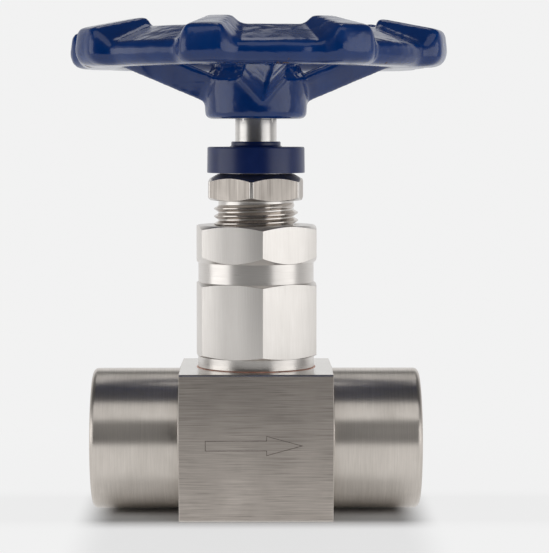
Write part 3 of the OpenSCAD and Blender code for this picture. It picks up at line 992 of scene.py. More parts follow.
@dataclass
class ValveBlock(SubAssembly):
    """The block with both turned ends, its ports and the flow arrow."""

    shoulder: float = 20.5
    shoulder_fall: float = 0.7
    shoulder_reach: float = 29.0
    chamfer: float = 0.5
    end_radius: float = 18.5
    end_rounding: float = 1.4
    fillet: float = 0.5
    port_radius: float = 10.3
    port_depth: float = 16.0
    port_chamfer: float = 1.0
    drill_angle: float = 118.0
    passage_radius: float = 3.0
    seat_radius: float = 2.5
    seat_chamfer: float = 1.7
    chamber_radius: float = 7.5
    chamber_drop: float = 2.0
    outlet_rise: float = 2.0
    inlet_drop: float = 10.5
    spigot_radius: float = 13.55
    spigot_floor: float = 24.8
    thread_pitch: float = 25.4 / 14
    thread_turns: float = 7.4
    thread_root: float = 0.12
    thread_crest: float = 0.95
    thread_taper: float = 1 / 32
    gauge_depth: float = 8.0
    arrow_ends: tuple[float, float, float] = (-13.1, 2.6, 12.1)
    arrow_height: float = 19.75
    arrow_halves: Pair = (1.35, 2.6)
    arrow_line: float = 0.17
    arrow_thickness: float = 0.03
    arrow_proud: float = 0.012
    bored_reach: float = 18.0
    bored_floor: float = 3.0
    finish_margin: float = 0.3
    top_margin: float = 0.1

    def __post_init__(self) -> None:
        """Reads the extents of the block from the frame."""
        self.low, self.high = span("body")
        self.axis = self.high.z / 2

    def _block(self) -> BMesh:
        """Makes the square block.

        Returns:
            The block with its long edges chamfered and its shoulders turned.
        """
        half = self.shoulder + 1
        block = box((-half, self.low.y, self.low.z), (half, self.high.y, self.high.z))
        long_edges = [e for e in block.edges if abs((e.verts[0].co - e.verts[1].co).x) > 1]
        bmesh.ops.bevel(block, geom=long_edges, offset=self.chamfer * math.sqrt(2), offset_type="WIDTH",
                        affect="EDGES", segments=1, profile=0.5, material=-1)
        reach = math.hypot(self.high.y, self.axis) + 1
        flat = self.shoulder - self.shoulder_fall
        outline = [(0, -self.shoulder), (reach, -flat), (reach, flat), (0, self.shoulder)]
        turned = lay_along_x(lathe(outline), self.axis)
        block = carve(block, turned, Cut.KEEP_COMMON)
        bmesh.ops.dissolve_limit(block, angle_limit=math.radians(1), verts=block.verts, edges=block.edges)
        return break_edges(block, self.deburred)

    def _barrel(self) -> BMesh:
        """Makes the two round ends.

        Returns:
            One bar through the block.
        """
        half, radius = self.high.x, self.end_radius
        root = self.shoulder - self.shoulder_fall * radius / self.shoulder_reach
        wide = radius + self.fillet
        corners = [(0, -half, 0), (radius, -half, self.end_rounding), (radius, -root, self.fillet),
                   (wide, -root, 0), (wide, root, 0), (radius, root, self.fillet),
                   (radius, half, self.end_rounding), (0, half, 0)]
        return lay_along_x(lathe(soften(corners, 6), steps=180), self.axis)

    def _port(self) -> BMesh:
        """Makes the cutter of a port.

        Returns:
            The cutter, with its mouth upwards.
        """
        mouth, radius = self.high.x, self.port_radius
        floor = mouth - self.port_chamfer - self.port_depth
        tip = floor - radius / math.tan(math.radians(self.drill_angle / 2))
        outline = [(0, mouth + 1), (radius + self.port_chamfer + 1, mouth + 1),
                   (radius, mouth - self.port_chamfer), (radius, floor), (0, tip)]
        return lathe(outline, steps=120)

    def _port_thread(self) -> BMesh:
        """Makes the thread of a port.

        Returns:
            The tapered ridge, with its wide end upwards.
        """
        pitch, root = self.thread_pitch, self.port_radius + self.thread_root
        start = self.high.x - self.port_chamfer - 0.2 - self.thread_turns * pitch
        section = ridge_section(root, self.port_radius - self.thread_crest, pitch, start)
        ridge = helix(section, pitch, self.thread_turns, 0.1, fade=0.5)
        for vert in ridge.verts:
            radius = radius_of(vert)
            if radius < root - 0.02:
                lean = (self.gauge_depth - (self.high.x - vert.co.z)) * self.thread_taper
                widen(vert, (radius + lean) / radius)
        return ridge

    def _bores(self) -> list[BMesh]:
        """Makes the cutters of the inside.

        Returns:
            The chamber with the seat, the outlet and the inlet.
        """
        floor, foot, top = self.axis - self.chamber_drop, self.axis - self.inlet_drop, self.high.z + 1
        seat, room, spigot = self.seat_radius, self.chamber_radius, self.spigot_radius
        chamber = lathe([(0, foot - 1), (seat, foot - 1), (seat, floor - self.seat_chamfer),
                         (seat + self.seat_chamfer, floor), (room, floor), (room, self.spigot_floor),
                         (spigot, self.spigot_floor), (spigot, top), (0, top)], steps=96)
        run = self.high.x - self.port_chamfer - self.port_depth - 2
        outlet = lay_along_x(rod(self.passage_radius, 0, run, 48), self.axis + self.outlet_rise)
        inlet = rod(self.passage_radius, 0, math.hypot(run, self.inlet_drop), 48)
        rotate(inlet, -math.atan2(run, self.inlet_drop), "Y")
        move(inlet, z=foot)
        return [chamber, outlet, inlet]

    def _finish_of(self, face: BMFace) -> int:
        """Picks the finish of a face.

        Args:
            face: The face.

        Returns:
            0 for the block's faces, 1 for its turned ends, 2 for ports and bores, 3 for its top.
        """
        middle, normal = face.calc_center_median(), face.normal
        from_flow = math.hypot(middle.y, middle.z - self.axis)
        from_stem = math.hypot(middle.x, middle.y)
        margin, top = self.finish_margin, self.high.z - self.top_margin
        inside = abs(middle.x) < self.bored_reach and self.bored_floor < middle.z < top
        bored = inside and from_stem < self.spigot_radius + margin
        if bored or from_flow < self.port_radius + margin:
            return 2
        within = abs(middle.x) < self.shoulder
        bevelled = abs(abs(normal.y) - abs(normal.z)) < 0.2 and abs(middle.y) > self.high.y - self.chamfer
        if within and bevelled or normal.z > 0.99 and middle.z > top:
            return 3
        flat = max(abs(normal.y), abs(normal.z)) > 0.99 or abs(normal.x) < 0.2
        outside = from_flow > self.end_radius + margin
        upright, level = abs(abs(middle.y) - self.high.y), abs(abs(middle.z - self.axis) - self.axis)
        return 0 if flat and (outside or within and (upright < 0.8 or level < 0.4)) else 1

    def _arrow(self) -> BMesh:
        """Makes the flow arrow on the front face.

        Returns:
            Its thin outline.
        """
        left, neck, tip = self.arrow_ends
        shaft, head = self.arrow_halves
        corners = [(left, -shaft), (neck, -shaft), (neck, -head), (tip, 0), (neck, head), (neck, shaft),
                   (left, shaft)]
        arrow = bmesh.new()
        verts = [arrow.verts.new((x, self.low.y, self.arrow_height + z)) for x, z in corners]
        face = arrow.faces.new(verts)
        face.normal_update()
        bmesh.ops.inset_individual(arrow, faces=[face], thickness=self.arrow_line, use_even_offset=True)
        bmesh.ops.delete(arrow, geom=[face], context="FACES_ONLY")
        bmesh.ops.solidify(arrow, geom=arrow.faces[:], thickness=self.arrow_thickness)
        bmesh.ops.recalc_face_normals(arrow, faces=arrow.faces)
        lowest = min(v.co.y for v in arrow.verts)
        move(arrow, y=self.low.y - self.arrow_proud - lowest)
        return arrow

    def build(self) -> None:
        """Builds and dresses the block, its port threads and the arrow."""
        shape = carve(self._block(), self._barrel(), Cut.ADD)
        ports = [lay_along_x(self._port(), self.axis, mirrored) for mirrored in (False, True)]
        for tool in (*ports, *self._bores()):
            shape = carve(shape, tool, Cut.TAKE_AWAY)
        finishes = ["block_face", "turned_end", "port", "block_top"]
        self.finish_piece("valve_block", shape, finishes, "block_steel", ["body"], self._finish_of,
                          sharp=25)
        for name, mirrored in (("inlet_thread", True), ("outlet_thread", False)):
            thread = lay_along_x(self._port_thread(), self.axis, mirrored)
            self.finish_piece(name, thread, ["port"], "block_steel", weighted=False)
        self.finish_piece("flow_arrow", self._arrow(), ["laser_mark"], "block_steel", weighted=False)


@dataclass
class Bonnet(SubAssembly):
    """The bonnet that was turned from hexagonal bar, and its copper gasket."""

    deburred: float = 0.16
    flats: float = 30.9
    corner: float = 5.8
    worn: float = 7.0
    collar_radius: float = 15.3
    collar_low: float = 38.1
    neck_radius: float = 15.2
    lower_hex: Pair = (41.0, 60.5)
    upper_hex: Pair = (65.7, 75.5)
    lower_chamfer: float = 1.1
    neck_chamfer: float = 2.4
    top_chamfer: float = 1.4
    spigot: float = 13.5
    spigot_chamfer: float = 1.0
    foot_bore: float = 6.6
    foot_top: float = 33.0
    thread_bore: float = 6.05
    thread_top: float = 48.0
    shaft_bore: float = 5.5
    packing_bore: float = 8.5
    packing_floor: float = 50.95
    nut_bore: float = 11.15
    nut_floor: float = 66.45
    nut_chamfer: float = 0.6
    ring_bore: float = 13.6
    ring_set_back: float = 0.4

    def _outside(self, low: float) -> list[Corner]:
        """Gives the outer half of the turned section.

        Args:
            low: Height of the spigot's lower end.

        Returns:
            The corners from the spigot to the top.
        """
        inner, outer = chamfer_reach(self.flats)
        base, step = self.lower_hex
        neck, top = self.upper_hex
        return [(self.spigot - self.spigot_chamfer, low, 0), (self.spigot, low + self.spigot_chamfer, 0),
                (self.spigot, self.collar_low, 0), (self.collar_radius, self.collar_low, 0.15),
                (self.collar_radius, base, 0), (inner, base, 0), (outer, base + self.lower_chamfer, 0),
                (outer, step - self.lower_chamfer, 0), (inner, step, 0), (self.neck_radius, step, 0),
                (self.neck_radius, neck, 0), (inner, neck, 0), (outer, neck + self.neck_chamfer, 0),
                (outer, top - self.top_chamfer, 0), (inner, top, 0.1)]

    def _inside(self) -> list[Corner]:
        """Gives the inner half of the turned section.

        Returns:
            The corners of the bores, from the top down.
        """
        top, step = self.upper_hex[1], self.shaft_bore - self.thread_bore
        return [(self.nut_bore + self.nut_chamfer, top, 0.1), (self.nut_bore, top - self.nut_chamfer, 0),
                (self.nut_bore, self.nut_floor, 0), (self.packing_bore, self.nut_floor, 0),
                (self.packing_bore, self.packing_floor, 0), (self.shaft_bore, self.packing_floor, 0),
                (self.shaft_bore, self.thread_top - step, 0), (self.thread_bore, self.thread_top, 0),
                (self.thread_bore, self.foot_top, 0), (self.foot_bore, self.foot_top, 0)]

    def build(self) -> None:
        """Builds and dresses the bonnet and the gasket."""
        low, high = span("bonnet")
        turned = lathe(soften([(self.foot_bore, low.z, 0), *self._outside(low.z), *self._inside()]))
        bar = prism(self.flats, low.z - 1, high.z + 1, self.corner, worn=self.worn)
        shape = break_edges(carve(turned, bar, Cut.KEEP_COMMON), self.deburred)
        self.finish_piece("bonnet_bar", shape, ["bonnet_flat", "bonnet_turned"], "bonnet_steel",
                          ["bonnet"], flats_first(self.flats, 1), sharp=25)
        low, high = span("bonnet_gasket")
        bore, rim, top = self.ring_bore, high.x - self.ring_set_back, min(high.z, self.collar_low)
        ring = soften([(bore, low.z, 0), (rim, low.z, 0.08), (rim, top, 0.08), (bore, top, 0)])
        self.finish_piece("copper_ring", lathe(ring), ["gasket_copper"], "gasket_copper",
                          ["bonnet_gasket"])


@dataclass
class Gland(SubAssembly):
    """The gland nut with its cut thread, and the dust cap on its boss."""

    flats: float = 24.0
    corner: float = -5.0
    hex_low: float = 82.0
    hex_high: float = 88.9
    low_chamfer: float = 1.0
    high_chamfer: Pair = (1.9, 2.2)
    root_radius: float = 9.9
    crest_radius: float = 11.1
    root_chamfer: float = 0.6
    edge_rounding: float = 0.6
    pitch: float = 2.0
    ridge_halves: Pair = (0.47, 0.07)
    thread_start: float = 0.8
    thread_gap: float = 1.3
    bore: float = 5.5
    boss: float = 9.5
    cap_bore: float = 9.6
    cap_draft: float = 0.08
    cap_ring: float = 6.5
    cap_ring_rise: float = 1.4
    cap_hole: float = 5.6
    cap_thickness: float = 3.1

    def _nut(self) -> None:
        """Builds and dresses the nut and its thread."""
        low, high = span("gland_nut")
        inner, outer = chamfer_reach(self.flats)
        across, down = self.high_chamfer
        root, bevel, base, top = self.root_radius, self.root_chamfer, self.hex_low, self.hex_high
        corners = [(self.bore, low.z, 0.1), (root - bevel, low.z, 0), (root, low.z + bevel, 0),
                   (root, base, 0.3), (inner, base, 0), (outer, base + self.low_chamfer, 0),
                   (outer, top - down, 0), (inner - across, top, 0.1), (self.boss, top, 0.2),
                   (self.boss, high.z, 0.4), (self.bore, high.z, 0.1)]
        bar = prism(self.flats, low.z - 1, high.z + 1, self.corner, rounded=self.edge_rounding)
        shape = break_edges(carve(lathe(soften(corners)), bar, Cut.KEEP_COMMON), self.deburred)
        self.finish_piece("gland_hex", shape, ["gland_flat", "bonnet_turned"], "bonnet_steel",
                          ["gland_nut"], flats_first(self.flats, 2), sharp=25)
        turns = (base - self.thread_gap - low.z - bevel) / self.pitch
        section = ridge_section(root - 0.1, self.crest_radius, self.pitch, low.z + self.thread_start,
                                *self.ridge_halves)
        thread = helix(section, self.pitch, turns, 0.5, fade=0.35, sides=96)
        self.finish_piece("gland_thread", thread, ["cut_thread"], "bonnet_steel", sharp=50,
                          weighted=False)

    def _cap(self) -> None:
        """Builds and dresses the dust cap."""
        low, high = span("dust_cap")
        outer, ring, shoulder = high.x, self.cap_ring, high.z - self.cap_ring_rise
        inside = high.z - self.cap_thickness
        corners = [(self.cap_bore, low.z, 0.2), (outer, low.z, 0.15),
                   (outer - self.cap_draft, shoulder, 0.4), (ring + 0.6, shoulder, 0.25),
                   (ring, shoulder + 0.35, 0.2), (ring, high.z, 0.3), (self.cap_hole, high.z, 0.15),
                   (self.cap_hole, inside, 0), (self.cap_bore, inside, 0.2)]
        self.finish_piece("moulded_cap", lathe(soften(corners, 4)), ["cap_plastic"], "cap_plastic",
                          ["dust_cap"], sharp=50)

    def build(self) -> None:
        """Builds and dresses the nut and the cap."""
        self._nut()
        self._cap()


@dataclass
class Stem(SubAssembly):
    """The stem with its ground shaft, threads, square and stud."""

    body: Body = Body.STEM
    deburred: float = 0.1
    shaft: float = 5.45
    shaft_low: float = 42.2
    shaft_top: float = 103.3
    foot: float = 4.0
    groove: float = 3.4
    groove_heights: Pair = (24.0, 25.2)
    waist: float = 3.6
    waist_heights: Pair = (26.6, 29.0)
    waist_slope: float = 0.4
    thread: float = 6.0
    thread_core: float = 5.0
    thread_pitch: float = 2.0
    thread_heights: Pair = (30.0, 41.0)
    core_top: float = 41.7
    square: float = 8.2
    square_turn: float = 7.2
    square_top: float = 117.5
    stud: float = 4.0
    stud_low: float = 110.0
    stud_depth: float = 0.55
    stud_pitch: float = 1.25
    stud_gap: float = 0.7
    worn_off: float = 0.7

    def _body(self, low: float) -> BMesh:
        """Turns the stem up to the inside of its square.

        Args:
            low: Height of its foot.

        Returns:
            The turned body.
        """
        foot, groove, waist, core = self.foot, self.groove, self.waist, self.thread_core
        (g_low, g_high), (w_low, w_high) = self.groove_heights, self.waist_heights
        corners = [(0, low, 0), (foot, low, 0.3), (foot, g_low, 0), (groove, g_low, 0),
                   (groove, g_high, 0), (foot, g_high, 0), (foot, w_low - self.waist_slope, 0),
                   (waist, w_low, 0), (waist, w_high, 0), (core, w_high, 0), (core, self.core_top, 0),
                   (self.shaft, self.shaft_low, 0), (self.shaft, self.shaft_top, 0.15),
                   (self.stud, self.shaft_top, 0), (self.stud, self.stud_low, 0), (0, self.stud_low, 0)]
        return lathe(soften(corners), steps=96)

    @staticmethod
    def _ridge(root: float, crest: float, pitch: float, low: float, high: float) -> BMesh:
        """Winds the ridge of a screw thread between two heights, a little into its core."""
        section = ridge_section(root - 0.05, crest, pitch, low)
        return helix(section, pitch, (high - low) / pitch, fade=0.25, sides=48)

    def build(self) -> None:
        """Builds and dresses the stem."""
        low, high = span("stem")
        square = prism(self.square, self.shaft_top - 1, self.square_top, 45 + self.square_turn, 4)
        round_bar = rod(self.shaft, self.shaft_top - 2, self.square_top + 1)
        square = break_edges(carve(square, round_bar, Cut.KEEP_COMMON), self.deburred)
        core, base, end = self.stud - self.stud_depth, self.square_top - 1, high.z - self.worn_off
        tip = lathe(soften([(0, base, 0), (core, base, 0), (core, end, 0.5), (0, end, 0)]), steps=72)
        heights = self.square_top + self.stud_gap, end - self.stud_gap
        stud_thread = self._ridge(core, self.stud, self.stud_pitch, *heights)
        lifting = self._ridge(self.thread_core, self.thread, self.thread_pitch, *self.thread_heights)
        shape = absorb(self._body(low.z), square, tip, stud_thread, lifting)
        self.finish_piece("stem_rod", shape, ["stem_ground"], "stem_steel", ["stem"], sharp=40,
                          weighted=False)


@dataclass
class Handwheel(SubAssembly):
    """The cast wheel with eight grips, four keeled spokes and its hub."""

    body: Body = Body.STEM
    bottom: float = 103.3
    turn: float = 7.2
    diameter: float = 100.6
    scallop: float = 3.6
    rim_inner: float = 66.0
    rim_rise: float = 13.2
    rim_height: float = 10.0
    grip_heights: Pair = (12.7, 9.4)
    valley_heights: Pair = (10.7, 5.4)
    underside_rounding: float = 3.6
    inner_rounding: float = 5.2
    grip_lean: float = 0.4
    bulge_half: float = 4.5
    bulge_flank: float = 6.5
    grips: int = 8
    grip_flat: float = 5.2
    grip_flank: float = 4.4
    grip_ease: float = 1.25
    rounding: float = 1.5
    spokes: int = 4
    spoke_width: float = 11.2
    spoke_flange: float = 2.0
    spoke_root: float = 3.0
    keel_depth: float = 6.0
    keel_width: float = 0.8
    spoke_slope: float = 0.42
    spoke_flare: float = 2.5
    spoke_flare_length: float = 4.8
    hub_radius: float = 13.7
    hub_wall: float = 10.6
    hub_height: float = 14.7
    hub_top: float = 11.5
    square: float = 8.3
    voxel: float = 0.55
    smoothings: int = 9

    def _from_grip(self, angle: float) -> float:
        """Gives the angle to the middle of the nearest grip, for one from a spoke; both in degrees."""
        pitch = 360 / self.grips
        return abs(angle - pitch * math.floor(angle / pitch) - pitch / 2)

    def _grip_share(self, angle: float) -> float:
        """Gives 1 on a grip's top and 0 in a valley, for an angle from a spoke in degrees."""
        run = (self._from_grip(angle) - self.grip_flat) / self.grip_flank
        return min(1.0, max(0.0, 1 - run)) ** self.grip_ease

    def _bulge(self, angle: float) -> float:
        """Gives 1 where a grip stands out in plan and 0 where the rim draws in between two."""
        run = min(1.0, max(0.0, (self._from_grip(angle) - self.bulge_half) / self.bulge_flank))
        return 1 - run * run * (3 - 2 * run)

    def _rim_section(self) -> list[Point]:
        """Gives the plain section of the rim.

        Returns:
            Its points, close enough together to be bent.
        """
        low, high, top, cuts = self.rim_inner / 2, self.diameter / 2, self.rim_height, 6
        corners = [(low, 0, self.inner_rounding), (high, 0, self.underside_rounding),
                   (high, top, self.rounding), (low, top, 0.7 * self.rounding)]
        outline = soften(corners, 6)
        points = []
        for (x, y), (to_x, to_y) in zip(outline, outline[1:] + outline[:1]):
            points += [(x + (to_x - x) * k / cuts, y + (to_y - y) * k / cuts) for k in range(cuts)]
        return points

    def _rim(self) -> BMesh:
        """Makes the rim.

        Returns:
            The plain section, spun and raised into grips and valleys.
        """
        low, high, tall = self.rim_inner / 2, self.diameter / 2, self.rim_height
        start, end = self.underside_rounding, tall - self.rounding
        rim = lathe(self._rim_section(), steps=480)
        for vert in rim.verts:
            radius = radius_of(vert)
            angle = math.degrees(math.atan2(vert.co.y, vert.co.x))
            share, bulge = self._grip_share(angle), self._bulge(angle)
            outer = high - self.scallop * (1 - bulge)
            inwards = (high - radius) / (high - low)
            top = [v + (g - v) * share for g, v in zip(self.grip_heights, self.valley_heights)]
            edge = top[1] + (top[0] - top[1]) * inwards
            climb = max(0.0, min(1.0, (vert.co.z - start) / (end - start)))
            vert.co.z += (edge - tall) * climb
            lean = self.grip_lean * bulge * climb ** 2
            widen(vert, (low + (radius - low) * (outer - lean - low) / (high - low)) / radius)
        move(rim, z=self.rim_rise)
        return rim

    def _spoke(self, number: int) -> BMesh:
        """Makes one keeled spoke, from the hub to the rim, where it flares.

        Args:
            number: Its number, counted round the hub.

        Returns:
            The spoke.
        """
        start, mouth = self.hub_radius - self.spoke_root, self.rim_inner / 2
        top = self.hub_wall + 0.9 - self.spoke_slope
        keel, flange = self.keel_width / 2, self.spoke_flange
        deep = self.keel_depth + flange
        stations = [(start, 0.0), (mouth - self.spoke_flare_length, 0.0), (mouth, self.spoke_flare),
                    (mouth + self.spoke_root, self.spoke_flare)]
        spoke = bmesh.new()
        loops = []
        for x, flare in stations:
            z = top + self.spoke_slope * (x - start)
            half = self.spoke_width / 2 + flare
            corners = [(-half, 0), (-half, -flange), (-keel, -deep),
                       (keel, -deep), (half, -flange), (half, 0)]
            verts = [spoke.verts.new((x, y, z + drop)) for y, drop in corners]
            loops.append([spoke.edges.new(pair) for pair in zip(verts, verts[1:] + verts[:1])])
        for first, second in zip(loops, loops[1:]):
            bmesh.ops.bridge_loops(spoke, edges=first + second)
        bmesh.ops.holes_fill(spoke, edges=spoke.edges, sides=0)
        bmesh.ops.recalc_face_normals(spoke, faces=spoke.faces)
        rotate(spoke, number * FULL_TURN / self.spokes)
        return spoke

    def _hub(self) -> BMesh:
        """Turns the hub.

        Returns:
            The hub with its square hole.
        """
        r, wall, top, height = self.hub_radius, self.hub_wall, self.hub_top, self.hub_height
        corners = [(0, 0, 0), (r - 0.4, 0, 1.2), (r, wall, 0.8), (top + 0.6, wall + 0.8, 0.4),
                   (top, height, 0.8), (0, height, 0)]
        hub = lathe(soften(corners), steps=120)
        return carve(hub, prism(self.square, -1, height + 1, 45 + 90, 4), Cut.TAKE_AWAY)

    def build(self) -> None:
        """Casts the wheel as one skin and enamels it."""
        shape = absorb(self._rim(), self._hub(), *(self._spoke(n) for n in range(self.spokes)))
        shape = through_modifier(shape, "REMESH", mode="VOXEL", voxel_size=self.voxel)
        for _ in range(self.smoothings):
            bmesh.ops.smooth_vert(shape, verts=shape.verts, factor=0.5, use_axis_x=True, use_axis_y=True,
                                  use_axis_z=True)
        rotate(shape, math.radians(self.turn - 90))
        move(shape, z=self.bottom)
        self.finish_piece("cast_wheel", shape, ["wheel_enamel"], "wheel_paint", ["handwheel"], sharp=180,
                          weighted=False)


@dataclass
class WheelFastening(SubAssembly):
    """The flat washer, the split washer and the nut that hold the wheel."""

    body: Body = Body.STEM
    deburred: float = 0.12
    flat_bore: float = 4.2
    split_bore: float = 4.15
    split_width: float = 1.2
    split_lean: float = 30.0
    nut_flats: float = 13.0
    nut_bore: float = 4.05
    nut_chamfer: float = 0.9
    bore_chamfer: Pair = (0.55, 0.6)

    def _add(self, name: str, shape: BMesh, node: str, sharp: float = 32) -> None:
        """Dresses one of the three pieces."""
        self.finish_piece(name, shape, ["fastener"], "fastener_steel", [node], sharp=sharp)

    def build(self) -> None:
        """Builds and dresses the three pieces."""
        low, high = span("wheel_washer")
        bore, rim = self.flat_bore, high.x
        flat = soften([(bore, low.z, 0), (rim, low.z, 0.2), (rim, high.z, 0.3), (bore, high.z, 0.2)])
        self._add("flat_washer", lathe(flat), "wheel_washer")
        low, high = span("wheel_lock_washer")
        bore, rim = self.split_bore, high.x
        corners = ((bore, low.z), (rim, low.z), (rim, high.z), (bore, high.z))
        coil = soften((radius, height, 0.15) for radius, height in corners)
        slot = box((0, -self.split_width / 2, -4), (8, self.split_width / 2, 4))
        rotate(slot, math.radians(self.split_lean), "X")
        move(slot, z=(low.z + high.z) / 2)
        self._add("split_washer", carve(lathe(coil), slot, Cut.TAKE_AWAY), "wheel_lock_washer")
        low, high = span("wheel_nut")
        inner, outer = chamfer_reach(self.nut_flats)
        bore, (across, down) = self.nut_bore, self.bore_chamfer
        section = soften([(bore, low.z, 0), (outer, low.z, 0), (outer, high.z - self.nut_chamfer, 0),
                          (inner, high.z, 0), (bore + across, high.z, 0.1), (bore, high.z - down, 0)])
        bar = prism(self.nut_flats, low.z - 1, high.z + 1, 90)
        nut = break_edges(carve(lathe(section), bar, Cut.KEEP_COMMON), self.deburred)
        self._add("hex_nut", nut, "wheel_nut", sharp=25)


@dataclass
class InnerParts:
    """The packing, the follower and the plug, whose CAD shapes and bodies stay."""

    materials: dict[str, Material]
    rings: int = 5

    def build(self) -> None:
        """Gives each inner node its finish."""
        turned = ("packing_washer", "gland_follower", "plug", "plug_clip")
        dressed = {**dict.fromkeys(turned, "inner_turned"), "thrust_ball": "polished_ball",
                   **{f"packing_ring_{n + 1}": "packing_graphite" for n in range(self.rings)}}
        for name, finish in dressed.items():
            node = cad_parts[name]
            node.data.materials.clear()
            node.data.materials.append(self.materials[finish])
            LOG.info("%s: dressed", name)


# Studio


@dataclass(frozen=True)
class SoftBox:
    """One soft lamp that points at the valve; angles in degrees, lengths in metres."""

    name: str
    azimuth: float
    elevation: float
    distance: float
    size: Pair
    radiance: float

    def build(self, aim: Vector) -> None:
        """Places the lamp.

        Args:
            aim: Point that it lights.
        """
        data = bpy.data.lights.new(self.name, "AREA")
        data.shape, (data.size, data.size_y) = "RECTANGLE", self.size
        data.energy = self.radiance * math.pi * self.size[0] * self.size[1]
        lamp = bpy.data.objects.new(self.name, data)
        a, e = math.radians(self.azimuth), math.radians(self.elevation)
        way = Vector((math.sin(a) * math.cos(e), -math.cos(a) * math.cos(e), math.sin(e)))
        lamp.location = aim + way * self.distance
        lamp.rotation_euler = way.to_track_quat("Z", "Y").to_euler()
        lamp.visible_camera = False
        bpy.context.scene.collection.objects.link(lamp)
        LOG.info("%s: radiance %.2f", self.name, self.radiance)


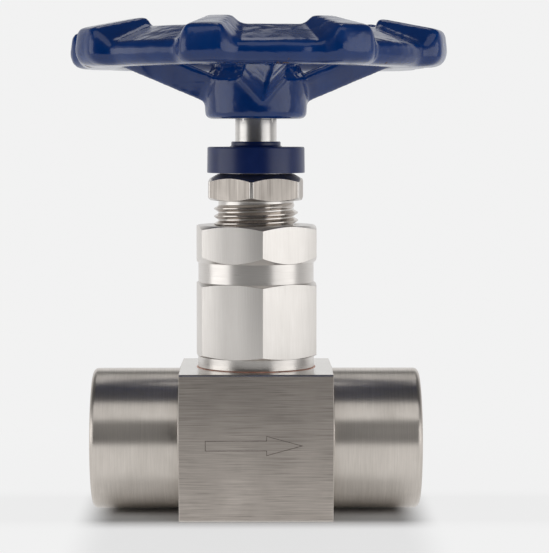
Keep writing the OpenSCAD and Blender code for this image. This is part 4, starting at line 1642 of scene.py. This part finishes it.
@dataclass
class Studio:
    """The pale floor, surroundings, lamps and camera, in metres and degrees, the lens in millimetres."""

    pale: float = 0.887
    distance: float = 0.575
    height: float = 0.1004
    focal: float = 142.05
    sensor: float = 36.0
    clipping: Pair = (0.01, 20.0)
    pitch: float = 3.84
    yaw: float = 0.486
    aim_height: float = 0.07
    floor_radius: float = 0.42
    floor_white: float = 0.96
    floor_drop: float = 0.00005
    shadow_sides: Pair = (0.036, 0.048)
    shadow_front: Pair = (0.017, 0.032)
    shadow_reach: Pair = (0.06, 0.17)
    # Painted contact shadow: the floor's colour is darkened, for the camera only, within these distances
    # of the valve's front and back, by the given amount.
    painted_shadow_front: Pair = (0.016, 0.023)
    painted_shadow_dark: float = 0.44
    mirrored_front: Pair = (0.006, 0.018)
    mirrored_shadow: float = 0.6
    near_glow: float = 0.77
    side_glow: float = 0.93
    room_near: Ramp = (-0.93, -0.3, 0.03, 0.45)
    room_far: Ramp = (0.0, 0.8, 0.0, 0.43)
    ceiling_start: Pair = (0.34, 0.5)
    ceiling_tilt: float = -0.08
    ceiling_dark: float = 0.08
    front_rise: Ramp = (0.2, 0.6, 0.0, 0.22)
    front_end: Pair = (-0.75, -0.45)
    panel_front: Pair = (0.22, 0.27)
    panel_low: Pair = (0.65, 0.70)
    panel_sides: Pair = (0.09, 0.135)
    panel_glow: Ramp = (0.35, 0.75, 2.0, 1.1)

    def _floor(self) -> None:
        """Lays the floor, which keeps the valve's shadow and fades into the backdrop; for the camera its
        colour also carries a painted contact shadow along the valve's front and back.
        """
        ground = bmesh.new()
        bmesh.ops.create_circle(ground, cap_ends=True, segments=96, radius=self.floor_radius)
        move(ground, z=-self.floor_drop)
        floor = place_object("floor", ground)
        material = bpy.data.materials.new("pale_floor")
        material.use_nodes = True
        material.node_tree.nodes.clear()
        w = Wiring(material.node_tree)
        place = w.add("TexCoord").outputs["Object"]
        across, along = (w.math("ABSOLUTE", part) for part in w.parts(place)[:2])
        rays = w.add("LightPath").outputs
        # Painted contact shadow: for camera rays the floor's white is lowered in a strip along the
        # valve's front and back.
        painted_contact_shadow = w.fit(along, *self.painted_shadow_front, self.painted_shadow_dark, 0.0, smooth=True)
        painted_contact_shadow = w.times(painted_contact_shadow, rays["Is Camera Ray"])
        white = w.math("SUBTRACT", self.floor_white, painted_contact_shadow)
        lit = w.add("BsdfDiffuse", {"Color": white}).outputs[0]
        glow = w.add("Emission", {"Color": (1, 1, 1, 1), "Strength": self.pale}).outputs[0]
        kept = w.times(w.fit(across, *self.shadow_sides, 1.0, 1 - self.side_glow, smooth=True),
                       w.fit(along, *self.shadow_front, 1.0, 1 - self.near_glow, smooth=True),
                       w.fit(w.length(place), *self.shadow_reach, 1.0, 0.0, smooth=True))
        seen = w.times(w.beside(kept), rays["Is Camera Ray"])
        dark = w.fit(along, *self.mirrored_front, 1.0, self.mirrored_shadow, smooth=True)
        under = w.times(w.math("POWER", kept, 3.0), dark)
        mirrored = w.times(w.beside(under), rays["Is Glossy Ray"])
        mix = w.add("MixShader", {0: w.math("MAXIMUM", seen, mirrored), 1: lit, 2: glow}).outputs[0]
        w.add("OutputMaterial", {"Surface": mix})
        floor.data.materials.append(material)

    def _surroundings(self) -> None:
        """Makes the world: a pale backdrop, a dark room on the camera's side and a lit panel behind."""
        world = bpy.data.worlds.new("studio")
        bpy.context.scene.world = world
        world.use_nodes = True
        world.node_tree.nodes.clear()
        w = Wiring(world.node_tree)
        x, y, z = w.parts(w.add("TexCoord").outputs["Generated"])
        near, far = (w.fit(y, *ramp, smooth=True) for ramp in (self.room_near, self.room_far))
        above = w.fit(w.math("MULTIPLY_ADD", y, self.ceiling_tilt, z), *self.ceiling_start, smooth=True)
        front = w.times(w.fit(z, *self.front_rise), w.fit(y, *self.front_end, 1.0, 0.0))
        panel = w.times(w.fit(y, *self.panel_front), w.fit(z, *self.panel_low, smooth=True),
                        w.fit(w.math("ABSOLUTE", x), *self.panel_sides, 1.0, 0.0, smooth=True),
                        w.fit(y, *self.panel_glow))
        ceiling = w.math("MAXIMUM", w.math("MAXIMUM", front, panel), self.ceiling_dark)
        room = w.math("ADD", w.math("ADD", near, far), front)
        around = w.between(above, room, ceiling)
        camera = w.add("LightPath").outputs["Is Camera Ray"]
        strength = w.between(camera, around, self.pale)
        back = w.add("Background", {"Color": (1, 1, 1, 1), "Strength": strength})
        w.add("OutputWorld", {"Surface": back.outputs[0]})

    def _lamps(self) -> None:
        """Places the soft lamps."""
        aim = Vector((0, 0, self.aim_height))
        for lamp in (SoftBox("right_softbox", 58, 2, 0.80, (0.76, 0.44), 1.36),
                     SoftBox("left_softbox", -77, 2, 0.80, (0.72, 0.44), 1.36),
                     SoftBox("front_top_softbox", 0, 50, 0.90, (1.5, 0.52), 0.84)):
            lamp.build(aim)

    def _camera(self) -> None:
        """Sets the camera at the viewing angle of the photograph."""
        data = bpy.data.cameras.new("camera")
        data.lens, data.sensor_width = self.focal, self.sensor
        data.clip_start, data.clip_end = self.clipping
        camera = bpy.data.objects.new("camera", data)
        camera.location = (0, -self.distance, self.height)
        turn = (math.radians(90 - self.pitch), 0, math.radians(-self.yaw))
        camera.rotation_euler = Euler(turn)
        bpy.context.scene.collection.objects.link(camera)
        bpy.context.scene.camera = camera

    def build(self) -> None:
        """Builds the whole studio."""
        bpy.context.scene.view_settings.view_transform = "Standard"
        self._floor()
        self._surroundings()
        self._lamps()
        self._camera()
        LOG.info("studio: floor, surroundings, lamps and camera")


def main() -> None:
    """Builds the valve and its studio in order."""
    logging.basicConfig(level=logging.INFO, format="%(name)s: %(message)s")
    materials = make_materials(span("body")[1].z / 2)
    for part in (ValveBlock, Bonnet, Gland, Stem, Handwheel, WheelFastening, InnerParts):
        part(materials).build()
        LOG.info("%s done", part.__name__)
    Studio().build()


if __name__ == "__main__":
    main()
